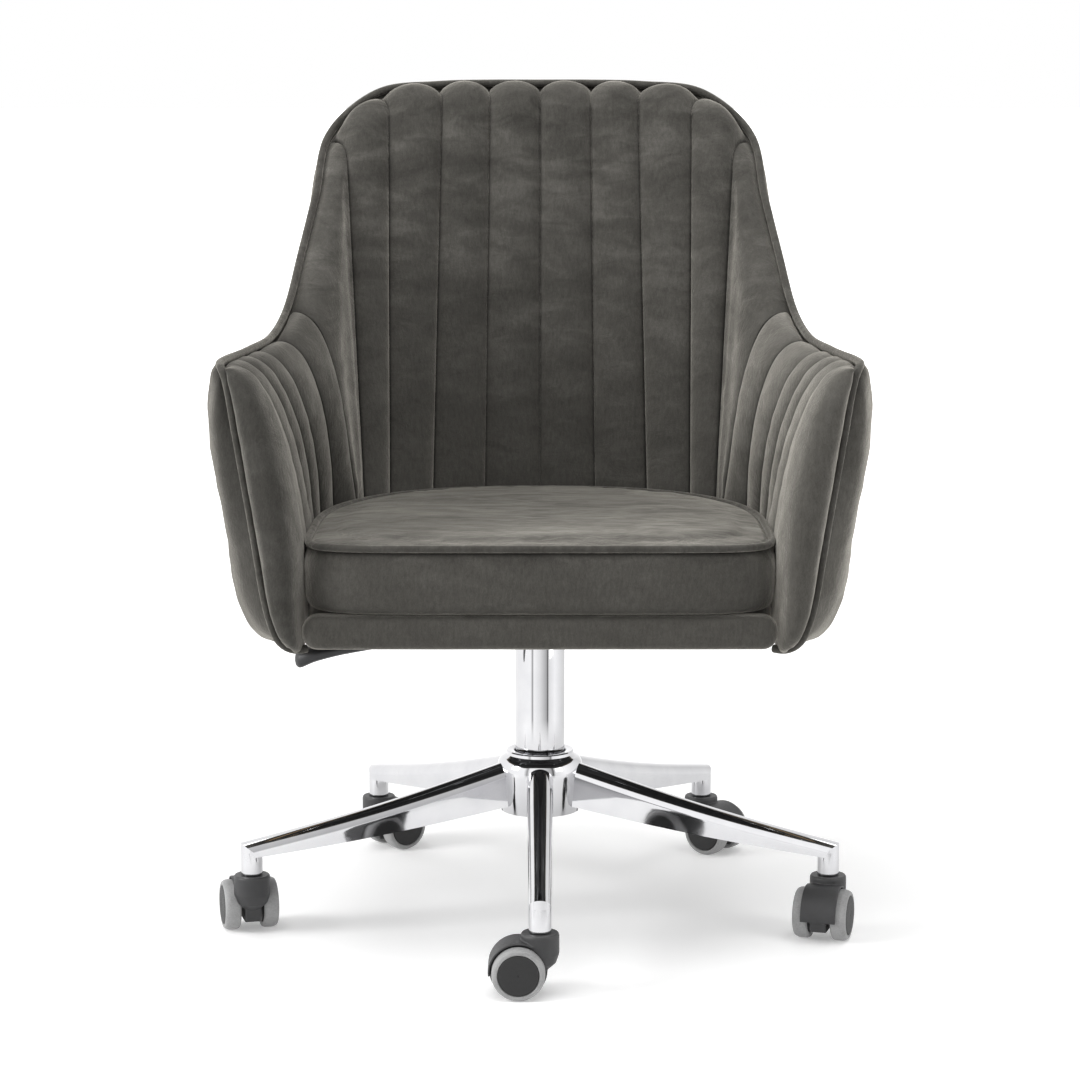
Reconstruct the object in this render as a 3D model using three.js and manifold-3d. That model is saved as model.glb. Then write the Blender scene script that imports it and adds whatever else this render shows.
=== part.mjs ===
// A swivel office chair: a channelled tub seat on a gas lift, a five-leg base and twin-wheel casters.
// Millimetres, +Z up. The origin is on the floor under the column; the sitter faces -Y.

import * as THREE from "three";
import { mergeVertices } from "three/addons/utils/BufferGeometryUtils.js";
import Module from "manifold-3d";

const wasm = await Module();
wasm.setup();

// ---------------------------------------------------------------- driving dimensions

const GAP = 0.3; // clearance between touching pieces

// base and casters
const LEG_COUNT = 5;
const BASE_RADIUS = 300; // column axis to caster stem axis
const HUB_BOTTOM = 104;
const HUB_TOP = 166;
const HUB_SIDES = 20; // four to each leg, so that every leg meets the same facets
const LEG_WALL = 2.6;
const SOCKET_RADIUS = 10.6;
const SOCKET_BOTTOM = 60;
const STEM_RADIUS = 5.5;
const WHEEL_RADIUS = 25;
const WHEEL_SIDES = 18;
const WHEEL_INNER = 11; // caster middle to the inner face of a wheel
const WHEEL_OUTER = 27; // caster middle to the outer face of a wheel
const CASTER_TRAIL = 20; // stem axis to wheel axis
const AXLE_RADIUS = 3;
const CASTER_HEADINGS = [180, 252.7, -36.4, 37, 104.5]; // where each caster trails, degrees from +X

// gas lift
const COLUMN_RADIUS = 25;
const COLUMN_WALL = 1.6;
const COLUMN_TOP = 277;
const CYLINDER_RADIUS = 14;
const CYLINDER_BOTTOM = 125;
const CYLINDER_TOP = 298;
const ROD_RADIUS = 5;
const ROD_TOP = 232;
const PIN_TOP = 300.8;

// plate and lever under the seat
const PLATE_TOP = 313.7;
const PLATE_THICKNESS = 3;
const PAN_FLOOR = 283;
const LEVER_Z = 305.3;
const LEVER_PIVOT_X = -30;
const LEVER_RADIUS = 4;
const PADDLE_Y = -60;
const BOLT_X = 84;
const BOLT_Y = 58;

// seat
const BOARD_BOTTOM = 316.5;
const BOARD_TOP = 334.5;
const CUSHION_BOTTOM = 349;
const CUSHION_TOP = 403.5; // at the back
const CUSHION_RISE = 7; // how much higher the top is at the front
const SEAT_HALF_WIDTH = 226;
const SEAT_MIDDLE_Y = -83;
const SEAT_BACK_DEPTH = 285; // from the middle line to the back pad
const SEAT_FRONT_DEPTH = 179;
const SEAT_BACK_FULLNESS = 2.35; // 2 makes the outline's back half an ellipse, more is squarer
const SEAT_FRONT_FULLNESS = 8;
const PIPING_RADIUS = 4;
const PAN_OPENING = 40; // radius of the hole over the plate's pan

// tub
const TUB_BOTTOM = 308;
const SEAT_LEVEL = 403;
const FRAME_THICKNESS = 10;
const OUTER_PAD = 17.5;
const RIM_GAP = 10; // between the inner pads and the outer panels at the rim, where the welt lies
const RIM_DROP = 9; // pads stop this far under the welt
const FRAME_DROP = 20; // the frame's top edge under the rim
const LEVELS_TO_FRAME_TOP = [0, 0.06, 0.3, 0.6, 0.84, 1]; // rows of points up the frame
const SHOULDER = 120; // how much of the outer face's top draws in
const FOOT = 90; // how much of the outer face's foot draws in
const FOOT_INSET = 22;
const OUTER_CURVE = 2.5; // how late the shoulder and the foot draw in
const CORE_FOOT_SHARE = 0.75; // how much of the foot's inset the frame and the linings follow
const WALL_TAPER = 0.18; // how much thinner the wall is at its foot
const ROLL_FULLNESS = 2.4; // 2 rolls the inner face into the rim along an ellipse, more is squarer
const LINING_GAP = 2; // between the frame and the inner pads' hidden face
const RIM_LINING = 0.6; // half the gap between the linings inside the rim
const BACK_SEAM = 7; // the station where an arm pad meets the back pad
const LAST_STATION = 14;

// Stations along the right half of the tub, from the middle of the back to the front of the arm.
// Each has the wall's inner face at seat level, the rim, and the shape of the wall between them:
// the belly is how far the inner face bows outwards at its foot.
const STATIONS = [
  { seat: [0, 202], rim: [0, 291, 829.5], heading: 90, roll: 20, rollDepth: 26, wall: 72, belly: 0 },
  { seat: [58, 198], rim: [55, 290, 829.5], heading: 86, roll: 20, rollDepth: 26, wall: 72, belly: 0 },
  { seat: [112, 181], rim: [109, 287, 828], heading: 76, roll: 20, rollDepth: 26, wall: 71, belly: 0 },
  { seat: [156, 152], rim: [171, 278, 820], heading: 60, roll: 20, rollDepth: 28, wall: 65, belly: 0 },
  { seat: [181, 124], rim: [220.5, 253, 776.5], heading: 42, roll: 22, rollDepth: 34, wall: 52, belly: 0 },
  { seat: [184, 116], rim: [231.5, 208, 715], heading: 28, roll: 23, rollDepth: 50, wall: 50, belly: 0 },
  { seat: [187, 108], rim: [244, 160, 655], heading: 22, roll: 33, rollDepth: 80, wall: 56, belly: 0 },
  { seat: [190, 100], rim: [254, 104, 605], heading: 17, roll: 43, rollDepth: 120, wall: 66, belly: -2 },
  { seat: [207, 64], rim: [264.5, 30, 581], heading: 12, roll: 51, rollDepth: 165, wall: 76, belly: 3 },
  { seat: [216, 30], rim: [278.5, -50, 576], heading: 9, roll: 54, rollDepth: 174, wall: 82, belly: 5 },
  { seat: [221, -4], rim: [286, -102, 575.5], heading: 7, roll: 54, rollDepth: 175, wall: 84, belly: 5 },
  { seat: [224, -38], rim: [291, -148, 576.5], heading: 5, roll: 54, rollDepth: 176, wall: 85, belly: 5 },
  { seat: [226, -74], rim: [294, -192, 577], heading: 4, roll: 54, rollDepth: 175, wall: 85, belly: 0 },
  { seat: [226, -150], rim: [293.5, -204, 576], heading: 3, roll: 53, rollDepth: 171, wall: 81, belly: 0 },
  { seat: [225, -218], rim: [291, -213, 574.5], heading: 2, roll: 49, rollDepth: 165, wall: 60, belly: 0 },
];

// The welt down the front of an arm, and how far forward the arm's nose reaches, by height.
const NOSE_EDGE = [
  [238, -238, 308],
  [248, -240, 333],
  [256, -240, 361],
  [268, -236, 436],
  [281, -229, 510],
  [287.5, -223, 548],
  [291.5, -219, 567],
];
const NOSE_FRONT = [
  [-250, 308],
  [-260, 350],
  [-261, 403],
  [-256, 470],
  [-243, 540],
  [-228, 567],
];

// ---------------------------------------------------------------- materials

const finish = (color, roughness, metalness = 0) =>
  new THREE.MeshStandardMaterial({ color, roughness, metalness });
const velvet = () => finish(0x5b5954, 0.9);
const chrome = () => finish(0xd8d8da, 0.12, 1);
const steel = () => finish(0x8b8d90, 0.4, 1);
const blackSteel = () => finish(0x1d1d1f, 0.5, 0.6);
const blackPlastic = () => finish(0x2a2a2c, 0.55);
const casterNylon = () => finish(0x4b4b4c, 0.5);
const tyreGrey = () => finish(0x8c8c8d, 0.6);
const plywood = () => finish(0xb9935f, 0.75);
const rubber = () => finish(0x161616, 0.9);
const acetal = () => finish(0xd9d7cf, 0.5);
const liningCloth = () => finish(0x151515, 0.95);

// ---------------------------------------------------------------- geometry helpers

const radians = THREE.MathUtils.degToRad;

/** Merges shared vertices, drops empty triangles and turns the faces outwards. */
function closed(geometry) {
  const bare = new THREE.BufferGeometry();
  bare.setAttribute("position", geometry.attributes.position.clone());
  bare.setIndex(geometry.index ? geometry.index.clone() : null);
  const merged = mergeVertices(bare, 1e-4);
  const at = merged.attributes.position;
  const corners = [0, 1, 2].map(() => new THREE.Vector3());
  const triangles = [];
  let volume = 0;
  for (let i = 0; i < merged.index.count; i += 3) {
    const [a, b, c] = [0, 1, 2].map((k) => merged.index.getX(i + k));
    if (a === b || b === c || c === a) continue;
    corners.forEach((corner, k) => corner.fromBufferAttribute(at, [a, b, c][k]));
    volume += corners[0].dot(corners[1].cross(corners[2]));
    triangles.push(a, b, c);
  }
  merged.setIndex(volume < 0 ? triangles.reverse() : triangles);
  return merged;
}

function toSolid(geometry) {
  const mesh = closed(geometry);
  return new wasm.Manifold(
    new wasm.Mesh({
      numProp: 3,
      vertProperties: new Float32Array(mesh.attributes.position.array),
      triVerts: new Uint32Array(mesh.index.array),
    }),
  );
}

function toGeometry(solid) {
  const mesh = solid.getMesh();
  const geometry = new THREE.BufferGeometry();
  geometry.setAttribute("position", new THREE.BufferAttribute(new Float32Array(mesh.vertProperties), 3));
  geometry.setIndex(Array.from(mesh.triVerts));
  return geometry;
}

const joined = (...geometries) =>
  toGeometry(geometries.map(toSolid).reduce((sum, next) => sum.add(next)));

const cut = (body, ...tools) =>
  toGeometry(tools.map(toSolid).reduce((rest, tool) => rest.subtract(tool), toSolid(body)));

/** A solid of revolution about Z from [radius, z] pairs. */
function turned(profile, sides, start = 0) {
  const points = profile.map(([r, z]) => new THREE.Vector2(r, z));
  return closed(new THREE.LatheGeometry(points, sides, start).rotateX(Math.PI / 2));
}

/** A ring of revolution: its profile closes on itself. */
const turnedRing = (profile, sides) => turned([...profile, profile[0]], sides);

const tube = (inner, outer, bottom, top, sides = 16) =>
  turnedRing([[inner, bottom], [outer, bottom], [outer, top], [inner, top]], sides);

const rod = (radius, bottom, top, sides = 16) =>
  turned([[0, bottom], [radius, bottom], [radius, top], [0, top]], sides);

/** A rod from one point to another. */
function rodBetween(radius, from, to, sides = 12) {
  const start = new THREE.Vector3(...from);
  const along = new THREE.Vector3(...to).sub(start);
  const up = new THREE.Vector3(0, 0, 1);
  const turn = new THREE.Quaternion().setFromUnitVectors(up, along.clone().normalize());
  return rod(radius, 0, along.length(), sides).applyQuaternion(turn).translate(start.x, start.y, start.z);
}

const box = (x0, x1, y0, y1, z0, z1) =>
  new THREE.BoxGeometry(x1 - x0, y1 - y0, z1 - z0).translate((x0 + x1) / 2, (y0 + y1) / 2, (z0 + z1) / 2);

/** A closed solid between two facing grids of points with the same rows and columns. */
function slab(front, back) {
  const rows = front[0].length;
  const columns = front.length;
  const points = [...front.flat(), ...back.flat()];
  const offset = rows * columns;
  const triangles = [];
  const apart = (a, b) => Math.hypot(...points[a].map((value, axis) => value - points[b][axis]));
  const quad = (a, b, c, d) => {
    // the shorter diagonal, so that mirrored and neighbouring faces bend alike
    if (apart(a, c) <= apart(b, d)) triangles.push(a, b, c, a, c, d);
    else triangles.push(b, c, d, b, d, a);
  };
  const face = (i, j) => i * rows + j;
  for (let i = 0; i + 1 < columns; i++) {
    for (let j = 0; j + 1 < rows; j++) {
      quad(face(i, j), face(i + 1, j), face(i + 1, j + 1), face(i, j + 1));
      const [a, b] = [offset + face(i, j), offset + face(i + 1, j)];
      quad(a, a + 1, b + 1, b);
    }
    const top = rows - 1;
    quad(face(i, 0), offset + face(i, 0), offset + face(i + 1, 0), face(i + 1, 0));
    quad(face(i, top), face(i + 1, top), offset + face(i + 1, top), offset + face(i, top));
  }
  for (let j = 0; j + 1 < rows; j++) {
    const end = columns - 1;
    quad(face(0, j), face(0, j + 1), offset + face(0, j + 1), offset + face(0, j));
    quad(face(end, j), offset + face(end, j), offset + face(end, j + 1), face(end, j + 1));
  }
  const geometry = new THREE.BufferGeometry();
  geometry.setAttribute("position", new THREE.Float32BufferAttribute(points.flat(), 3));
  geometry.setIndex(triangles);
  return closed(geometry);
}

/** A solid through rings of points; it wraps into a loop, or its first and last rings are closed off. */
function loft(rings, wraps = false) {
  const count = rings[0].length;
  const vertices = rings.flat(2);
  const triangles = [];
  const spans = wraps ? rings.length : rings.length - 1;
  for (let i = 0; i < spans; i++) {
    const next = (i + 1) % rings.length;
    for (let j = 0; j < count; j++) {
      const k = (j + 1) % count;
      triangles.push(i * count + j, next * count + j, next * count + k);
      triangles.push(i * count + j, next * count + k, i * count + k);
    }
  }
  if (!wraps) {
    for (const [ring, flip] of [[0, false], [rings.length - 1, true]]) {
      const middle = [0, 1, 2].map((axis) => rings[ring].reduce((sum, p) => sum + p[axis], 0) / count);
      const centre = vertices.length / 3;
      vertices.push(...middle);
      for (let j = 0; j < count; j++) {
        const pair = [ring * count + j, ring * count + ((j + 1) % count)];
        triangles.push(centre, ...(flip ? pair.reverse() : pair));
      }
    }
  }
  const geometry = new THREE.BufferGeometry();
  geometry.setAttribute("position", new THREE.Float32BufferAttribute(vertices, 3));
  geometry.setIndex(triangles);
  return closed(geometry);
}

/** A round cord along a curve, closed off at both ends. */
function cordAlong(points, radius, steps, sides = 6) {
  const circle = new THREE.Shape(
    Array.from({ length: sides }, (_, i) => {
      const angle = (i / sides) * 2 * Math.PI;
      return new THREE.Vector2(radius * Math.cos(angle), radius * Math.sin(angle));
    }),
  );
  const path = new THREE.CatmullRomCurve3(
    points.map((p) => new THREE.Vector3(...p)),
    false,
    "centripetal",
  );
  return closed(new THREE.ExtrudeGeometry(circle, { steps, extrudePath: path, bevelEnabled: false }));
}

/** Rings of a round welt sewn through a line of points; it may close on itself. */
function weltRings(points, radius, sides, wraps = false) {
  const count = points.length;
  const within = (i) => (wraps ? (i + count) % count : THREE.MathUtils.clamp(i, 0, count - 1));
  const at = (i) => new THREE.Vector3(...points[within(i)]);
  return points.map((point, i) => {
    const tangent = at(i + 1).sub(at(i - 1)).normalize();
    const side = new THREE.Vector3(-tangent.y, tangent.x, 0).normalize();
    const other = new THREE.Vector3().crossVectors(tangent, side);
    return Array.from({ length: sides }, (_, k) => {
      const angle = ((k + 0.5) / sides) * 2 * Math.PI;
      const reach = side.clone().multiplyScalar(radius * Math.cos(angle));
      reach.addScaledVector(other, radius * Math.sin(angle));
      return point.map((value, axis) => value + reach.getComponent(axis));
    });
  });
}

/** A smooth value through the entries of a list at a position counted in entries. */
function smoothAt(list, position) {
  const last = list.length - 1;
  const from = Math.min(Math.max(Math.floor(position), 0), last - 1);
  const w = position - from;
  const b = list[from];
  const c = list[from + 1];
  const a = from > 0 ? list[from - 1] : 2 * b - c;
  const d = from + 2 <= last ? list[from + 2] : 2 * c - b;
  const start = (c - a) / 2;
  const end = (d - b) / 2;
  const cubic = 2 * b - 2 * c + start + end;
  const square = 3 * c - 3 * b - 2 * start - end;
  return cubic * w ** 3 + square * w ** 2 + start * w + b;
}

const mix = (a, b, t) => a.map((value, i) => value + (b[i] - value) * t);

/** The row of a table at a height, where the last entry of each row is its height. */
function rowAtHeight(table, z) {
  const heightOf = (row) => row[row.length - 1];
  const high = Math.max(1, table.findIndex((row) => heightOf(row) >= z));
  const [lower, upper] = [table[high - 1], table[high]];
  return mix(lower, upper, (z - heightOf(lower)) / (heightOf(upper) - heightOf(lower)));
}

const group = new THREE.Group();

function add(name, geometry, material, parent = group) {
  const mesh = new THREE.Mesh(geometry, material);
  mesh.name = name;
  parent.add(mesh);
  return mesh;
}

// ---------------------------------------------------------------- the tub wall

// Each station becomes a list of numbers, so that a smooth value can be had between stations,
// and the left half mirrors the right one.
const rightHalf = STATIONS.map((s) => [
  ...s.seat, ...s.rim, s.heading, s.roll, s.rollDepth, s.wall, s.belly,
]);
const leftHalf = rightHalf
  .slice(1)
  .reverse()
  .map(([x, y, rimX, rimY, rimZ, heading, ...rest]) => [-x, y, -rimX, rimY, rimZ, 180 - heading, ...rest]);
const columnsOfStations = rightHalf[0].map((_, i) => [...leftHalf, ...rightHalf].map((row) => row[i]));

/** The wall at a station from -14 (left arm front) through 0 (middle of the back) to 14. */
function wallAt(station) {
  const values = columnsOfStations.map((column) => smoothAt(column, station + LAST_STATION));
  const [x, y, rimX, rimY, rimZ, heading, roll, rollDepth, wall, belly] = values;
  const outward = [Math.cos(radians(heading)), Math.sin(radians(heading))];
  return { x, y, rimX, rimY, rimZ, outward, roll, rollDepth, wall, belly };
}

/** How far up a point is between seat level and the rim, from 0 to 1. */
const riseAt = (wall, z) => THREE.MathUtils.clamp((z - SEAT_LEVEL) / (wall.rimZ - SEAT_LEVEL), 0, 1);

/** How far the inner face is outwards of its base line: its belly, and the roll into the rim. */
function innerOffset(wall, z) {
  const q = THREE.MathUtils.clamp((z - (wall.rimZ - wall.rollDepth)) / wall.rollDepth, 0, 1);
  const rolled = 1 - (1 - q ** ROLL_FULLNESS) ** (1 / ROLL_FULLNESS);
  return wall.roll * rolled + wall.belly * (1 - riseAt(wall, z)) ** 2;
}

/** The wall's thickness at a height, before its top and foot draw in. */
const thicknessAt = (wall, z) => {
  const down = (wall.rimZ - z) / (wall.rimZ - TUB_BOTTOM);
  return wall.wall * (1 - WALL_TAPER * down);
};

/** How far the foot of the outer face draws in at a height. */
function footInset(wall, z) {
  const low = THREE.MathUtils.clamp((TUB_BOTTOM + FOOT - z) / FOOT, 0, 1);
  const share = THREE.MathUtils.clamp((wall.wall - 40) / 46, 0, 1); // the thicker the wall, the more
  return FOOT_INSET * share * low ** OUTER_CURVE;
}

/** How far the outer face is from the inner one's base line at a height. */
function outerOffset(wall, z) {
  const q = THREE.MathUtils.clamp((z - (wall.rimZ - SHOULDER)) / SHOULDER, 0, 1);
  const shoulder = (wall.wall - wall.roll - RIM_GAP) * q ** OUTER_CURVE;
  return thicknessAt(wall, z) - shoulder - footInset(wall, z);
}

/** The wall's thickness that the frame and the linings follow. */
const coreThickness = (wall, z) => thicknessAt(wall, z) - CORE_FOOT_SHARE * footInset(wall, z);

/** A point of the wall, at an offset outwards from its inner base line. */
function wallPoint(wall, offset, z) {
  const rise = riseAt(wall, z);
  const topX = wall.rimX - wall.outward[0] * wall.roll;
  const topY = wall.rimY - wall.outward[1] * wall.roll;
  return [
    wall.x + (topX - wall.x) * rise + wall.outward[0] * offset,
    wall.y + (topY - wall.y) * rise + wall.outward[1] * offset,
    z,
  ];
}

/** The heights at which the wall's solids have a row of points. */
function heightsOf(wall) {
  const frameTop = wall.rimZ - FRAME_DROP;
  const lower = LEVELS_TO_FRAME_TOP.map((v) => TUB_BOTTOM + v * (frameTop - TUB_BOTTOM));
  return [...lower, wall.rimZ - FRAME_DROP / 2, wall.rimZ - RIM_DROP];
}

/** A padding's hidden face: it lies on the frame and then runs up into the rim. */
function liningOffset(wall, z, distance, atRim) {
  const frameTop = wall.rimZ - FRAME_DROP;
  const onFrame = coreThickness(wall, Math.min(z, frameTop)) - distance;
  const above = THREE.MathUtils.clamp((z - frameTop) / (FRAME_DROP - RIM_DROP), 0, 1);
  return onFrame + (wall.roll + atRim - onFrame) * above;
}

const innerLining = (wall, z) =>
  liningOffset(wall, z, OUTER_PAD + FRAME_THICKNESS + LINING_GAP, RIM_GAP / 2 - RIM_LINING);
const outerLining = (wall, z) => liningOffset(wall, z, OUTER_PAD, RIM_GAP / 2 + RIM_LINING);

function wallColumn(station, offsetAt) {
  const wall = wallAt(station);
  return heightsOf(wall).map((z) => wallPoint(wall, offsetAt(wall, z), z));
}

/** A range of stations: its ends and every whole station between them. */
const stationsBetween = (from, to) => {
  const first = Math.floor(from) + 1;
  const inner = Array.from({ length: Math.ceil(to) - first }, (_, i) => first + i);
  return [from, ...inner.filter((s) => s > from && s < to), to];
};

function padBetween(from, to) {
  const stations = stationsBetween(from, to);
  return slab(
    stations.map((s) => wallColumn(s, innerOffset)),
    stations.map((s) => wallColumn(s, innerLining)),
  );
}

/** The front welt's points at the rows of an arm. */
function noseEdges() {
  const top = NOSE_EDGE[NOSE_EDGE.length - 1][2];
  const heights = heightsOf(wallAt(LAST_STATION));
  const scale = (top - TUB_BOTTOM) / (heights[heights.length - 1] - TUB_BOTTOM);
  return heights.map((z) => rowAtHeight(NOSE_EDGE, TUB_BOTTOM + (z - TUB_BOTTOM) * scale));
}

/** The right arm's inner pad: the channelled face, then round the nose to the front welt. */
function armPad() {
  const stations = stationsBetween(BACK_SEAM + 0.01, LAST_STATION);
  const front = stations.map((s) => wallColumn(s, innerOffset));
  const back = stations.slice(0, -1).map((s) => wallColumn(s, innerLining));
  const lastFront = front[front.length - 1];
  const edges = noseEdges();
  const foremost = lastFront.map(([x, , z], j) => {
    const [reach] = rowAtHeight(NOSE_FRONT, edges[j][2]);
    return [(x + edges[j][0]) / 2 - 2, reach, z];
  });
  const ends = edges.map(([x, y, z]) => [x - 4.2, y - 4.8, z]);
  const backInner = lastFront.map((p, j) => mix(p, edges[j], 0.35));
  const backOuter = lastFront.map((p, j) => mix(p, edges[j], 0.72));
  const wallY = (p, j) => [p[0], Math.max(edges[j][1] + 7, lastFront[j][1] + 5), p[2]];
  back.push(backInner.map(wallY));
  const steps = 4;
  for (let k = 1; k <= steps; k++) {
    const position = (2 * k) / steps;
    const roundNose = (p, j) =>
      p.map((_, axis) => smoothAt([p[axis], foremost[j][axis], ends[j][axis]], position));
    front.push(lastFront.map(roundNose));
    back.push(backInner.map((p, j) => wallY(mix(p, backOuter[j], k / steps), j)));
  }
  return slab(front, back);
}

/** The right arm's outer panel, from the front welt back to the arm's seam. */
function outerArm() {
  const stations = stationsBetween(BACK_SEAM + 0.01, LAST_STATION - 1);
  const front = stations.map((s) => wallColumn(s, outerOffset));
  const back = stations.map((s) => wallColumn(s, outerLining));
  const lastFront = front[front.length - 1];
  const lastBack = back[back.length - 1];
  const edges = noseEdges();
  const bulge = edges.map((_, j) => 9 * Math.sin((Math.PI * j) / (edges.length - 1)) ** 0.5);
  const moved = (p, shift, scale) => p.map((value, axis) => value + shift[axis] * scale);
  const middle = lastFront.map((p, j) => moved(mix(p, edges[j], 0.55), [1, -1, 0], bulge[j]));
  const middleBack = lastBack.map((p, j) => moved(mix(p, edges[j], 0.5), [-1, 4, 0], 1));
  front.push(middle, edges.map(([x, y, z]) => [x + 3.6, y + 4.2, z]));
  back.push(middleBack, edges.map(([x, y, z]) => [x - 1, y + 9, z]));
  return slab(front, back);
}

const mirrored = (geometry) => closed(geometry.clone().scale(-1, 1, 1));

function rimWelt() {
  const overRim = stationsBetween(-LAST_STATION, LAST_STATION).map((station) => {
    const wall = wallAt(station);
    return wallPoint(wall, wall.roll + RIM_GAP / 2, wall.rimZ + 0.8);
  });
  const rightNose = NOSE_EDGE.slice().reverse();
  const leftNose = NOSE_EDGE.map(([x, y, z]) => [-x, y, z]);
  return loft(weltRings([...leftNose, ...overRim, ...rightNose], PIPING_RADIUS, 6));
}

function buildTub() {
  const backEnd = BACK_SEAM - 0.04;
  const outerBackStations = stationsBetween(-backEnd, backEnd);
  const frameStations = stationsBetween(1 - LAST_STATION, LAST_STATION - 1);
  const frameColumn = (s, distance) => {
    const wall = wallAt(s);
    const heights = heightsOf(wall).slice(0, LEVELS_TO_FRAME_TOP.length);
    heights[0] += 4;
    return heights.map((z) => wallPoint(wall, coreThickness(wall, z) - distance, z));
  };
  add("back_pad", padBetween(-backEnd, backEnd), velvet());
  add("arm_pad_right", armPad(), velvet());
  add("arm_pad_left", mirrored(armPad()), velvet());
  add(
    "tub_frame",
    slab(
      frameStations.map((s) => frameColumn(s, OUTER_PAD + FRAME_THICKNESS + 0.5)),
      frameStations.map((s) => frameColumn(s, OUTER_PAD + 0.5)),
    ),
    plywood(),
  );
  add(
    "outer_back",
    slab(
      outerBackStations.map((s) => wallColumn(s, outerOffset)),
      outerBackStations.map((s) => wallColumn(s, outerLining)),
    ),
    velvet(),
  );
  add("outer_arm_right", outerArm(), velvet());
  add("outer_arm_left", mirrored(outerArm()), velvet());
  add("rim_piping", rimWelt(), velvet());
}

// ---------------------------------------------------------------- the seat

/** The seat's outline, drawn in by an inset: a deep rounded back and a squarer front. */
function seatOutline(inset, z, count = 32, frontInset = inset, rise = 0) {
  const power = (value, exponent) => Math.sign(value) * Math.abs(value) ** exponent;
  return Array.from({ length: count }, (_, i) => {
    const angle = (i / count) * 2 * Math.PI;
    const back = Math.sin(angle) >= 0;
    const exponent = back ? 2 / SEAT_BACK_FULLNESS : 2 / SEAT_FRONT_FULLNESS;
    const depth = back ? SEAT_BACK_DEPTH - inset : SEAT_FRONT_DEPTH - frontInset;
    const forward = -depth * power(Math.sin(angle), exponent);
    const share = (SEAT_BACK_DEPTH + forward) / (SEAT_BACK_DEPTH + SEAT_FRONT_DEPTH);
    return [
      (SEAT_HALF_WIDTH - inset) * power(Math.cos(angle), exponent),
      SEAT_MIDDLE_Y - forward,
      z + rise * share,
    ];
  });
}

/** The outline at a height of the cushion's top, which rises towards the front. */
const topOutline = (inset, z, count = 32) => seatOutline(inset, z, count, inset, CUSHION_RISE);

function buildSeat() {
  const bolts = [[-1, -1], [1, -1], [1, 1], [-1, 1]].map(([x, y]) => [x * BOLT_X, y * BOLT_Y]);
  const holes = bolts.map(([x, y]) => rod(3.4, BOARD_BOTTOM - 10, BOARD_TOP + 10, 6).translate(x, y, 0));
  const boardInset = 5;
  const coverInset = 7;
  const boardFront = 44; // the board stops behind the front rail
  const padFront = 46; // and so does the foot of the cushion
  add(
    "seat_board",
    cut(
      loft([BOARD_BOTTOM, BOARD_TOP].map((z) => seatOutline(boardInset, z, 24, boardFront))),
      rod(PAN_OPENING, BOARD_BOTTOM - 1, BOARD_TOP + 1, 14),
      ...holes,
    ),
    plywood(),
  );
  add(
    "dust_cover",
    cut(
      loft([PLATE_TOP + GAP, BOARD_BOTTOM - GAP].map((z) => seatOutline(coverInset, z, 24, padFront))),
      rod(PAN_OPENING, PLATE_TOP - 1, BOARD_BOTTOM + 1, 14),
      ...holes,
    ),
    liningCloth(),
  );
  const core = 6; // the foam core under the cushion's visible part
  add(
    "seat_cushion",
    loft([
      seatOutline(core, BOARD_TOP + GAP, 32, padFront),
      seatOutline(core, CUSHION_BOTTOM - 0.2, 32, padFront),
      seatOutline(core + 4, CUSHION_BOTTOM + 0.2),
      seatOutline(4, CUSHION_BOTTOM + 14),
      seatOutline(3.5, CUSHION_BOTTOM + 30),
      topOutline(7, CUSHION_TOP - 5.5),
      topOutline(15, CUSHION_TOP + 2),
      topOutline(50, CUSHION_TOP + 5),
      topOutline(110, CUSHION_TOP + 7),
    ]),
    velvet(),
  );
  const seam = topOutline(6.5, CUSHION_TOP + 1, 44);
  add("cushion_piping", loft(weltRings(seam, PIPING_RADIUS, 6, true), true), velvet());

  // front rail: a padded bar with rounded ends between the arms
  const rail = { y: -242, z: 332, halfDepth: 15.5, halfHeight: 16.4 };
  const railSection = (x, scale) =>
    Array.from({ length: 12 }, (_, i) => {
      const angle = (i / 12) * 2 * Math.PI;
      const round = (value) => Math.sign(value) * Math.abs(value) ** 0.5;
      return [
        x,
        rail.y + rail.halfDepth * scale * round(Math.cos(angle)),
        rail.z + rail.halfHeight * scale * round(Math.sin(angle)),
      ];
    });
  const railEnds = [[-220, 0.72], [-216, 0.92], [-205, 1], [0, 1], [205, 1], [216, 0.92], [220, 0.72]];
  add("seat_apron", loft(railEnds.map(([x, scale]) => railSection(x, scale))), velvet());

  // steel plate with a pressed pan that holds the gas lift's cone
  const panX = 48;
  const panY = 38;
  const underside = PLATE_TOP - PLATE_THICKNESS;
  const plate = joined(
    box(-105, 105, -76, 76, underside, PLATE_TOP),
    box(-panX, panX, -panY, panY, PAN_FLOOR, underside + 1),
    rod(19, PAN_FLOOR - 2, CYLINDER_TOP + 1, 16),
  );
  const panHollow = cut(
    box(3 - panX, panX - 3, 3 - panY, panY - 3, PAN_FLOOR + 3, PLATE_TOP + 1),
    rod(19, PAN_FLOOR - 2, CYLINDER_TOP, 16),
  );
  add(
    "mounting_plate",
    cut(
      plate,
      panHollow,
      rod(CYLINDER_RADIUS + GAP, PAN_FLOOR - 5, PLATE_TOP, 16),
      box(-panX - 1, 4 - panX, -7, 7, PAN_FLOOR + 13, PLATE_TOP + 1),
      box(-panX - 8, 4 - panX, -7, 7, underside - 4, PLATE_TOP + 1),
      ...holes,
    ),
    blackSteel(),
  );
  bolts.forEach(([x, y], i) => {
    const head = rod(5.6, underside - 4.6, underside - GAP, 6);
    const shank = rod(2.8, underside - 1, BOARD_TOP - 2, 6);
    add(`plate_bolt_${i + 1}`, joined(head, shank).translate(x, y, 0), steel());
  });
}

// ---------------------------------------------------------------- the gas lift and its lever

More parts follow.
